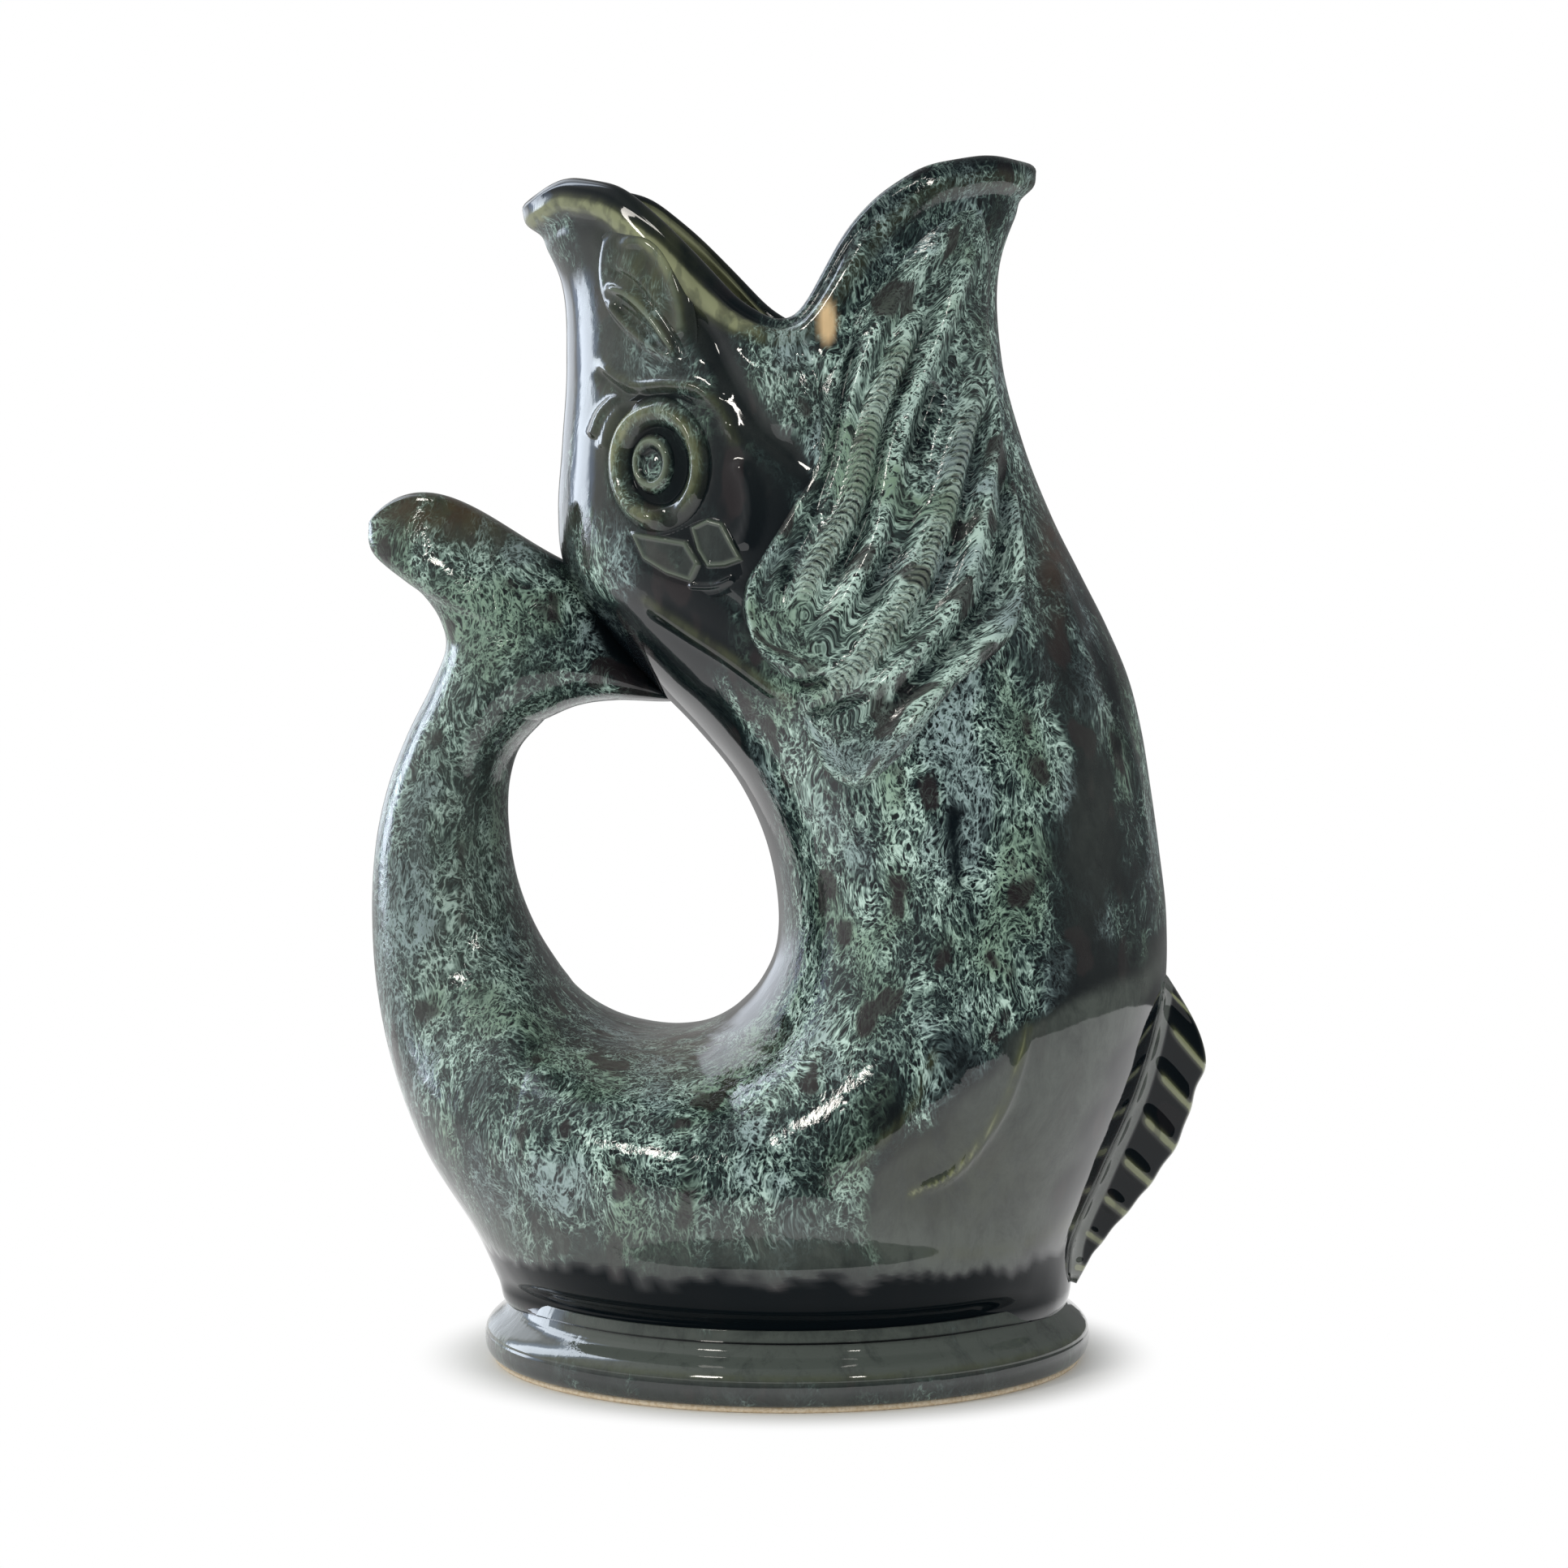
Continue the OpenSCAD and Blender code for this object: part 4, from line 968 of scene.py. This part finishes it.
nose = np.radians(np.linspace(-90, 20, 24))
slope = np.linspace(0.06, 1.5, 90)
slopeShare = (1 + np.cos(np.pi * np.clip(slope, 0, 1)**1.45)) / 2
slopeRadius = (jug["waist"] + (foot["flange"] - jug["waist"]) * slopeShare
               - 2.2 * np.clip(slope - 0.9, 0, None) - foot["ridge"] * hump(slope, 0.2, 0.06))
rimOuter = foot["flange"] - foot["inset"]
footProfile = np.vstack([
    np.stack([np.full(6, foot["innerRadius"]), np.linspace(jug["footHeight"], foot["bare"], 6)], 1),
    np.stack([np.linspace(foot["innerRadius"], rimOuter, 8)[1:-1], np.full(6, foot["bare"])], 1),
    np.stack([foot["flange"] - foot["inset"] * (1 - np.cos(nose)),
              foot["level"] + (foot["level"] - foot["bare"]) * np.sin(nose)], 1),
    np.stack([slopeRadius, foot["level"] + (jug["footHeight"] - foot["level"]) * slope], 1)[8:],
    np.stack([np.linspace(slopeRadius[-1], foot["innerRadius"], 6)[1:-1], np.full(4, foot["top"])], 1)])
footGrid = revolve(footProfile, foot["around"])
footUp = footGrid[..., 2]
lineThin = 0.45 * hump(footUp, 6.9, 0.7) * (np.hypot(footGrid[..., 0], footGrid[..., 1]) > 55)
# The slope's milky grey is partly milky glaze and partly painted reflection of the ceiling
footMaps = glazeMaps(footGrid, thin=lineThin, fleck=0.12 * smooth(footUp, 4, 8),
                     milk=0.3 * smooth(footUp, 15, 12) + 0.7 * smooth(footUp, 5, 8))
dress(makeMesh("footRing", footGrid, footMaps, loop=True), glazeMaterial, "dark_glaze", "foot_ring")

rimTurn = np.radians(np.linspace(0, 90, 8))
rimProfile = np.vstack([
    [[foot["innerRadius"], foot["bare"]], [foot["innerRadius"], foot["rimBevel"]],
     [foot["innerRadius"] + foot["rimBevel"], 0]],
    np.stack([rimOuter - foot["rimCorner"] * (1 - np.sin(rimTurn)),
              foot["rimCorner"] * (1 - np.cos(rimTurn))], 1),
    [[rimOuter, foot["bare"]]]])
dress(makeMesh("bareFootRim", revolve(rimProfile, foot["rimAround"]), {}, loop=True),
      clayMaterial, "bare_clay", "bare_foot_rim")


# A coarse map of which row and angle of the jug each pixel of the photographed side shows
lookRows, lookAngles = np.meshgrid(np.linspace(0.1, 15, 520), np.linspace(0.03, np.pi - 0.03, 260),
                                   indexing="ij")
lookCell = 12
lookPixels = (pixelOf(skin(lookRows, lookAngles, -1.0)) / lookCell).astype(int)
lookTable = np.full((photo["pixels"] // lookCell + 1, photo["pixels"] // lookCell + 1, 2), np.nan)
lookTable[lookPixels[..., 1], lookPixels[..., 0]] = np.stack([lookRows, lookAngles], -1)


def placesOf(pix):
    # The row and angle that pixels show: looked up on the coarse map, then brought home by Newton steps
    cells = np.clip((pix / lookCell).astype(int), 0, len(lookTable) - 1)
    found = lookTable[cells[..., 1], cells[..., 0]]
    u, angle = (np.where(np.isnan(f), np.nanmean(f), f) for f in np.moveaxis(found, -1, 0))
    step = 1e-3
    for _ in range(9):
        here = pixelOf(skin(u, angle, -1.0))
        byRow = (pixelOf(skin(u + step, angle, -1.0)) - here) / step
        byAngle = (pixelOf(skin(u, angle + step, -1.0)) - here) / step
        miss = pix - here
        scale = byRow[..., 0] * byAngle[..., 1] - byRow[..., 1] * byAngle[..., 0]
        scale = np.where(np.abs(scale) < 50, 50, scale)
        rowStep = (miss[..., 0] * byAngle[..., 1] - miss[..., 1] * byAngle[..., 0]) / scale
        angleStep = (miss[..., 1] * byRow[..., 0] - miss[..., 0] * byRow[..., 1]) / scale
        u, angle = u + np.clip(rowStep, -0.4, 0.4), angle + np.clip(angleStep, -0.2, 0.2)
        u, angle = np.clip(u, 0.02, 15.5), np.clip(angle, 0.02, np.pi - 0.02)
    return u, angle


def onSkin(pix, height):
    # Points at a height in mm over the skin where the photograph shows these pixels
    u, angle = placesOf(pix)
    here = skin(u, angle, -1.0)
    normal = unit(np.cross(skin(u, angle + 1e-3, -1.0) - here, skin(u + 1e-3, angle, -1.0) - here))
    return here + normal * height[..., None], normal


def closedPatch(pix, height, floor=-1.9):
    # A patch with its edge sunk into the skin and a coarse underside: each row is a ring, over and back
    top, normal = onSkin(pix, height)
    picks = np.linspace(pix.shape[1] - 1, 0, 8).astype(int)
    under = top[:, picks] + normal[:, picks] * (floor - height[:, picks])[..., None]
    return np.concatenate([top, under], 1), np.concatenate([height, np.full(under.shape[:2], floor)], 1)


def bothSides(name, slot, node, grid, flow=None, loop=False, **extra):
    # A piece on the photographed side and its twin on the other
    for side, turned in (("right", 1), ("left", -1)):
        points = grid * np.array([1, turned, 1])
        dress(makeMesh(name + side.capitalize(), points, glazeMaps(points, flow, **extra), loop=loop),
              glazeMaterial, slot, node + "_" + side)


def between(left, right, rowCount, columnCount):
    # A grid of pixels between two edges that run from top to bottom, columns closer together at both ends
    ends = []
    for line in (left, right):
        run = np.concatenate([[0], np.cumsum(np.linalg.norm(np.diff(line, axis=0), axis=1))])
        steps = np.linspace(0, 1, rowCount) * run[-1]
        ends.append(np.stack([np.interp(steps, run, line[:, k]) for k in (0, 1)], -1)[:, None])
    a, b = ends
    s = (1 - np.cos(np.linspace(0, np.pi, columnCount))) / 2
    s = 0.55 * s + 0.45 * np.linspace(0, 1, columnCount)
    return a + (b - a) * s[None, :, None]


def edgeFade(pix, outline, inner):
    # 0 at the outline and 1 well inside, to lift a patch out of the skin
    return smooth(insideDistance(pix, outline), 0, inner)


def raisedPatch(piece, pix, outline, more=0.0):
    # A patch lifted out of the skin, in mm: its base, folds times the relief of its lines, and more, faded in
    # from its outline, less the depth that its edge is sunk
    tall = piece["base"] + piece["folds"] * lineRelief(pix, piece["lines"]) + more
    return closedPatch(pix, tall * edgeFade(pix, outline, piece["fade"]) - piece["sunk"])


# Gill cover: flowing folds from the lip down to the belly, two of them corded, with deep hollows between
gillLines = [
    ([(1004, 480), (1008, 540), (992, 580), (972, 630), (948, 672), (926, 712), (922, 760), (940, 805),
      (979, 822)], 8, 1.2),
    ([(1125, 400), (1098, 459), (1072, 520), (1058, 585), (1046, 630), (1020, 672), (999, 713), (988, 750)],
     13, 1.35, 8.5),
    ([(1200, 300), (1160, 400), (1122, 500), (1096, 600), (1072, 680), (1040, 740), (1012, 790)], 9, 0.8),
    ([(1203, 473), (1182, 546), (1166, 614), (1145, 677), (1132, 713), (1093, 776), (1051, 828), (1000, 862)],
     13, 1.35, 8.5),
    ([(1215, 440), (1226, 520), (1215, 600), (1200, 680), (1180, 740), (1140, 790), (1090, 840), (1040, 880)],
     8, 0.8),
    ([(1246, 573), (1258, 640), (1258, 695), (1250, 750), (1224, 785), (1175, 830), (1118, 888), (1080, 925)],
     9, 1.1),
    ([(1180, 275), (1125, 335), (1080, 405), (1050, 475), (1036, 540), (1018, 600), (985, 670), (962, 730)],
     8, 0.7),
    ([(990, 890), (1000, 921), (1028, 955), (1056, 966), (1088, 935), (1113, 906), (1150, 868)], 8, 1.0),
    ([(1110, 500), (1098, 540), (1085, 590), (1076, 640)], 6, 0.5),
    ([(1150, 620), (1128, 680), (1100, 735), (1060, 790)], 6, 0.5),
    ([(1060, 400), (1040, 480), (1028, 560), (1000, 640), (972, 700), (962, 750)], 8, -1.1),
    ([(1160, 360), (1120, 450), (1092, 530), (1075, 610), (1052, 670), (1018, 730)], 7, -0.9),
    ([(1155, 470), (1135, 530), (1122, 575)], 13, -1.2),
    ([(1104, 670), (1085, 712), (1066, 748)], 12, -1.2),
    ([(1214, 500), (1194, 590), (1174, 670), (1148, 730), (1096, 792)], 7, -0.8),
    ([(1240, 560), (1238, 650), (1224, 720), (1188, 778), (1130, 838), (1085, 882)], 9, -1.0),
    ([(945, 835), (979, 846), (1025, 838)], 8, -1.2),
    ([(990, 884), (1032, 872), (1080, 852)], 7, -0.9),
]
gill = {
    "rows": 560,
    "columns": 156,
    "lines": gillLines,
    "base": 0.8,       # mm that the cover stands up, and how strongly its folds do
    "folds": 1.45,
    "fade": 16,        # pixels in which it rises from its outline
    "sunk": 0.35,      # mm that its edge lies in the skin
    "across": 46,      # mm from side to side and from top to bottom, as its flecks are laid
    "along": 128,
    "arc": 0.009,      # how far the flecks bend back from a crest, by the squared distance up to the reach
    "arcReach": 18,
}
gillPix = between(gillLeft, gillRight, gill["rows"], gill["columns"])
gillGrid, gillTall = raisedPatch(gill, gillPix, gillOutline)
rib, ribGap = (np.zeros(gillPix.shape[:2]) for _ in range(2))
nearest = np.full(gillPix.shape[:2], 1e9)
for points, breadth, tall, *pitch in gillLines:
    d, along, run = tracedLine(gillPix, points)
    if tall > 0:
        nearest = np.minimum(nearest, d)
    if pitch:
        wave = cordWave(d, run, pitch[0])
        onCord = np.exp(-(d / (1.15 * breadth))**4) * smooth(along, 0, 0.15) * smooth(along, 1, 0.9)
        rib += 0.5 * onCord * smooth(wave, -0.8, 0.8)
        ribGap += 0.75 * onCord * smooth(wave, 0.1, -0.9)


def overUnder(values):
    # Values on a patch's top, and none on its underside
    return np.concatenate([values, np.zeros((len(values), 8) + values.shape[2:])], 1)


# The flecks follow the folds: across, along with an arc over each crest, and depth
alongGill, acrossGill = np.meshgrid(np.linspace(0, gill["along"], gill["rows"]),
                                    np.linspace(0, gill["across"], gill["columns"]), indexing="ij")
gillFlow = np.stack([acrossGill * 0.7, gillTall[:, :gill["columns"]] + 200,
                     0.95 * alongGill - gill["arc"] * np.minimum(nearest, gill["arcReach"])**2], -1)
# The hollows and the gaps between a cord's turns are darkened as pooled glaze and painted shade; the turns
# get the lighter rib colour, partly a painted highlight
bothSides("gillCover", "mottled_glaze", "gill_cover", gillGrid, flow=overUnder(gillFlow),
          thin=0.2 * smooth(gillTall, 1.6, 2.6), fleck=0.55 * smooth(gillTall, -0.4, 1.0) + 0.3,
          pool=0.65 * smooth(gillTall, 0.65, -0.7) + overUnder(ribGap), rib=overUnder(rib),
          bright=1.1 * smooth(gillTall, 0.4, 1.6), milk=0.15 * smooth(gillTall, -0.3, 0.5))

# Eye: a rolled ring round a dish, open low at the back, in a shallow socket
eye = {
    "middle": (810, 573),          # pixels, the ring's crest runs round this oval
    "reach": (57, 76),
    "inner": ((802, 571), (20, 31)),
    "rise": 2.3,                   # mm up or down: the ring, the dish in it and the socket round it
    "dish": -0.9,
    "socket": -1.1,
    "around": 320,
    "across": 90,
}
fromInner, toOuter = oval(*eye["inner"], eye["around"]), oval(*eyeOval, eye["around"])
eyeShare = np.linspace(0, 1, eye["across"])[None, :, None]
eyePix = fromInner[:, None] * (1 - eyeShare) + toOuter[:, None] * eyeShare


def eyeHeight(pix):
    # The ring's hump round its crest, lower where it is open, and the dish and socket beside it
    q = (pix - eye["middle"]) / eye["reach"]
    r = np.linalg.norm(q, axis=-1)
    angle = np.arctan2(q[..., 1], q[..., 0])
    gap = (1 - 0.9 * hump(angle, 1.25, 0.3)) * (0.85 + 0.15 * np.cos(3 * angle + 0.6))
    ring = eye["rise"] * gap * hump(r, 0.87, 0.16)
    return ring + eye["dish"] * smooth(r, 0.75, 0.6) + eye["socket"] * hump(r, 1.2, 0.1)


eyeTall = eyeHeight(eyePix) * edgeFade(eyePix, eyeOutline, 10) - 0.35 * (1 - edgeFade(eyePix, eyeOutline, 8))
eyeGrid, eyeRise = closedPatch(eyePix, eyeTall)
# The dish and socket are darkened as pooled glaze and painted shade
bothSides("eyeRing", "olive_glaze", "eye_ring", eyeGrid, loop=True,
          thin=0.75 * smooth(eyeRise, 0.4, 1.9) + 0.1, fleck=0.45 * smooth(eyeRise, 0.3, 1.7),
          pool=0.85 * smooth(eyeRise, 0.3, -0.6))

# Pupil: a small raised ring with a button in its middle
pupil = {"middle": (802, 571), "reach": (28, 41), "rise": 1.7, "button": 0.7, "edge": -0.5}
pupilTurn = np.linspace(-np.pi / 2, np.pi / 2, 90)[:, None]
pupilAcross = np.sin(np.linspace(-np.pi / 2, np.pi / 2, 70))[None, :]
pupilUnit = np.stack([np.cos(pupilTurn) * pupilAcross, np.sin(pupilTurn) * np.ones_like(pupilAcross)], -1)
pupilPix = pupilUnit * pupil["reach"] + pupil["middle"]
pupilR = np.linalg.norm(pupilUnit, axis=-1)
pupilTall = (eyeHeight(pupilPix) + pupil["rise"] * hump(pupilR, 0.66, 0.22)
             + pupil["button"] * smooth(pupilR, 0.42, 0.1) + pupil["edge"] * smooth(pupilR, 0.85, 1))
pupilGrid, pupilRise = closedPatch(pupilPix, pupilTall)
# The pupil's grooves are darkened as pooled glaze and painted shade, and its ring gets the rib colour as a
# painted highlight
pupilGroove = 0.8 * hump(pupilR, 0.47, 0.07) + 0.9 * smooth(pupilR, 0.84, 0.95)
bothSides("eyePupil", "olive_glaze", "eye_pupil", pupilGrid, fleck=np.full(pupilRise.shape, 0.25),
          thin=0.65 * smooth(pupilRise, -0.3, 0.9), pool=overUnder(pupilGroove),
          rib=overUnder(0.7 * hump(pupilR, 0.68, 0.09)))


def ovalPatch(outline, rowCount, columnCount):
    # Rows across a closed outline, from its highest point to its lowest
    top, low = outline[:, 1].argmin(), outline[:, 1].argmax()
    turned = np.roll(outline, -top, axis=0)
    split = (low - top) % len(outline)
    one, other = turned[:split + 1], np.vstack([turned[split:], turned[:1]])[::-1]
    left, right = (one, other) if one[:, 0].mean() < other[:, 0].mean() else (other, one)
    return between(left, right, rowCount, columnCount)


# Snout: an almond swell over a sharp leaf-shaped ridge
snoutLines = [
    ([(760, 300), (795, 300), (822, 330), (838, 380), (842, 420)], 9, 1.1),
    ([(765, 312), (790, 345), (815, 390), (832, 425)], 14, 0.5),
    ([(745, 352), (775, 364), (806, 395), (836, 440)], 6, 1.2),
    ([(748, 368), (768, 395), (800, 425), (834, 444)], 5, 0.9),
    ([(750, 330), (785, 352), (820, 400), (845, 445)], 5, -0.7),
    ([(758, 374), (785, 395), (815, 425)], 5, -0.5),
]
snout = {"rows": 150, "columns": 110, "lines": snoutLines, "base": 0.5, "folds": 1, "fade": 12, "sunk": 0.3}
snoutPix = ovalPatch(snoutOutline, snout["rows"], snout["columns"])
snoutGrid, snoutRise = raisedPatch(snout, snoutPix, snoutOutline)
# The leaf ridge's top gets the rib colour as a painted highlight
bothSides("snoutLeaf", "dark_glaze", "snout_leaf", snoutGrid, thin=0.35 * smooth(snoutRise, 0.4, 1.3),
          rib=0.6 * smooth(snoutRise, 1.0, 1.7))

# Cheek: two flat facets with crisp borders and a thin raised line under them
cheekFacets = [[(778, 656), (812, 662), (846, 668), (862, 695), (852, 716), (822, 706), (793, 688)],
               [(852, 650), (872, 640), (890, 645), (902, 668), (914, 690), (893, 697), (872, 698),
                (860, 678)]]
cheek = {
    "rows": 120,
    "columns": 120,
    "lines": [([(846, 722), (880, 722), (905, 712)], 4, 0.7)],
    "base": 0.15,
    "folds": 1,
    "facet": 0.6,      # mm that a facet stands up, and its border over it
    "border": 0.5,
    "fade": 8,
    "sunk": 0.3,
}
cheekPix = ovalPatch(cheekOutline, cheek["rows"], cheek["columns"])
cheekDistance = np.max([insideDistance(cheekPix, np.array(facet, float)) for facet in cheekFacets], axis=0)
cheekInside = smooth(cheekDistance, -3, 5)
cheekEdge = hump(cheekDistance, 2, 2.6)
cheekGrid, cheekRise = raisedPatch(cheek, cheekPix, cheekOutline,
                                   cheek["facet"] * cheekInside + cheek["border"] * cheekEdge)
# The facet borders get the rib colour as a painted highlight on their raised edges, and the low ground
# painted shade with pooled glaze
bothSides("cheekPlate", "dark_glaze", "cheek_plate", cheekGrid,
          milk=0.3 * overUnder(cheekInside), rib=0.5 * overUnder(cheekEdge),
          pool=0.5 * smooth(cheekRise, 0.0, -0.2))
print("pieces ready")


# Stage: a pale table that fades to white, soft light from a window behind on the left, and two small lamps
# in front
stage = {
    "floorRadius": 0.42,
    "floorSides": 128,
    "floorColour": "#efeeea",
    "fadeFrom": 0.0585,       # m from the foot's axis, where the table starts to fade to white
    "fadeTo": 0.076,
    "room": 0.30,             # what the glaze reflects on the camera's side
    "backdrop": 0.70,         # the white sheet behind on the left, as the glaze reflects it
    "dark": 0.22,             # share of that which the room on the right gives
    "behind": (-0.75, 0.2),   # Y of a direction, from the room to the sheet, and X, from light to dark
    "rightward": (-0.75, 0.12),
    "paneTop": (0.97, 0.75),  # Z, where the bright places end at the top and at the foot
    "paneFoot": (-0.12, 0.02),
    "fill": 0.72,             # soft light from all round, and how much more comes from the window's side
    "windowFill": 0.55,
    "fillColour": "#fafdff",
    "window": (-0.90, 0.436, 0),
    "sheet": (-0.56, 0.828, 0),
    # Bright places that the glaze reflects: towards what, cosines where it starts and is full, strength and
    # colour
    "bright": [("window", 0.985, 0.995, 5.0, "#eff7ff"), ("window", 0.957, 0.988, 1.2, "#adceff"),
               ("sheet", 0.962, 0.99, 1.3, "#e7f1ff")],
    # Lamps: name, place in m, width and height, power
    "lamps": [("softKey", (-0.45, -0.80, 0.85), (0.16, 0.22), 2.2),
              ("rightLamp", (0.55, -0.70, 0.95), (0.10, 0.10), 0.8)],
    "lampColour": "#fffaf2",
    "lampTarget": (0, 0, 0.1),
}
white = (1, 1, 1, 1)

# Table top: a matt pale laminate, white in the picture away from the jug
floorMaterial, add = newMaterial("paleTable")
reachOut = add("VectorMath", {0: (add("TexCoord"), "Object")}, operation="LENGTH")
fade = add("MapRange", {"Value": (reachOut, "Value"), "From Min": stage["fadeFrom"],
                        "From Max": stage["fadeTo"]}, **sCurve)
rays = add("LightPath")
watched = add("Math", {0: (rays, "Is Camera Ray"), 1: (rays, "Is Transmission Ray")}, operation="MAXIMUM")
mirroredToo = add("Math", {0: watched, 1: (rays, "Is Glossy Ray")}, operation="MAXIMUM")
seen = add("Math", {0: fade, 1: mirroredToo}, operation="MULTIPLY")
matt = add("BsdfPrincipled", {"Base Color": linear(stage["floorColour"]), "Roughness": 0.6})
whiteLight = add("Emission", {"Color": white, "Strength": 1.0})
add("OutputMaterial", {"Surface": add("MixShader", {0: seen, 1: matt, 2: whiteLight})})
disc = bpy.data.meshes.new("tableTop")
rim = stage["floorRadius"] * oval((0, 0), (1, 1), stage["floorSides"])
disc.from_pydata([(x, y, 0) for x, y in rim.tolist()], [], [list(range(stage["floorSides"]))])
tableTop = bpy.data.objects.new("tableTop", disc)
disc.materials.append(floorMaterial)
bpy.context.scene.collection.objects.link(tableTop)

# World: white to the camera, and for reflections a white sheet behind the jug, bright places on it and a
# dim room
world = bpy.data.worlds.new("studio")
bpy.context.scene.world = world
world.use_nodes = True
add = nodeAdder(world.node_tree)
coords = add("TexCoord")
rays = add("LightPath")
axes = add("SeparateXYZ", {"Vector": (coords, "Generated")})
behind, rightward, over, under = (
    add("MapRange", {"Value": (axes, axis), "From Min": stage[key][0], "From Max": stage[key][1],
                     "To Min": first, "To Max": last}, **sCurve)
    for axis, key, first, last in (("Y", "behind", stage["room"], stage["backdrop"]),
                                   ("X", "rightward", 1.0, stage["dark"]),
                                   ("Z", "paneTop", 0.0, 1.0), ("Z", "paneFoot", 0.0, 1.0)))
roomStrength = add("Math", {0: behind, 1: rightward}, operation="MULTIPLY")
mirrored = add("Emission", {"Color": white, "Strength": roomStrength})
flatWay = add("VectorMath", {0: (coords, "Generated"), 1: (1, 1, 0)}, operation="MULTIPLY")
heading = add("VectorMath", {0: flatWay}, operation="NORMALIZE")
towards = {key: (add("VectorMath", {0: heading, 1: stage[key]}, operation="DOT_PRODUCT"), "Value")
           for key in ("window", "sheet")}
tall = add("Math", {0: over, 1: under}, operation="MULTIPLY")
for key, starts, full, strength, colour in stage["bright"]:
    wide = add("MapRange", {"Value": towards[key], "From Min": starts, "From Max": full, "To Max": strength},
               **sCurve)
    shape = add("Math", {0: wide, 1: tall}, operation="MULTIPLY")
    glow = add("Emission", {"Color": linear(colour), "Strength": shape})
    mirrored = add("AddShader", {0: mirrored, 1: glow})
fromSide = add("MapRange", {"Value": towards["window"], "From Min": -0.6, "From Max": 1.0,
                            "To Min": stage["fill"], "To Max": stage["fill"] + stage["windowFill"]}, **sCurve)
diffuse = add("Emission", {"Color": linear(stage["fillColour"]), "Strength": fromSide})
shiny = add("Math", {0: (rays, "Is Glossy Ray"), 1: (rays, "Is Transmission Ray")}, operation="MAXIMUM")
reflected = add("MixShader", {0: shiny, 1: diffuse, 2: mirrored})
backdrop = add("Emission", {"Color": white, "Strength": 1.0})
add("OutputWorld", {"Surface": add("MixShader", {0: (rays, "Is Camera Ray"), 1: reflected, 2: backdrop})})

# Lamps: soft rectangles turned towards the jug
for name, spot, size, power in stage["lamps"]:
    data = bpy.data.lights.new(name, "AREA")
    data.shape, data.size, data.size_y = "RECTANGLE", size[0], size[1]
    data.energy, data.color = power, linear(stage["lampColour"])[:3]
    thing = bpy.data.objects.new(name, data)
    thing.location = spot
    away = np.array(spot) - np.array(stage["lampTarget"])
    thing.rotation_euler = (math.acos(away[2] / np.linalg.norm(away)), 0, math.atan2(away[0], -away[1]))
    bpy.context.scene.collection.objects.link(thing)
print("stage ready")

bpy.context.scene.view_settings.view_transform = "Standard"
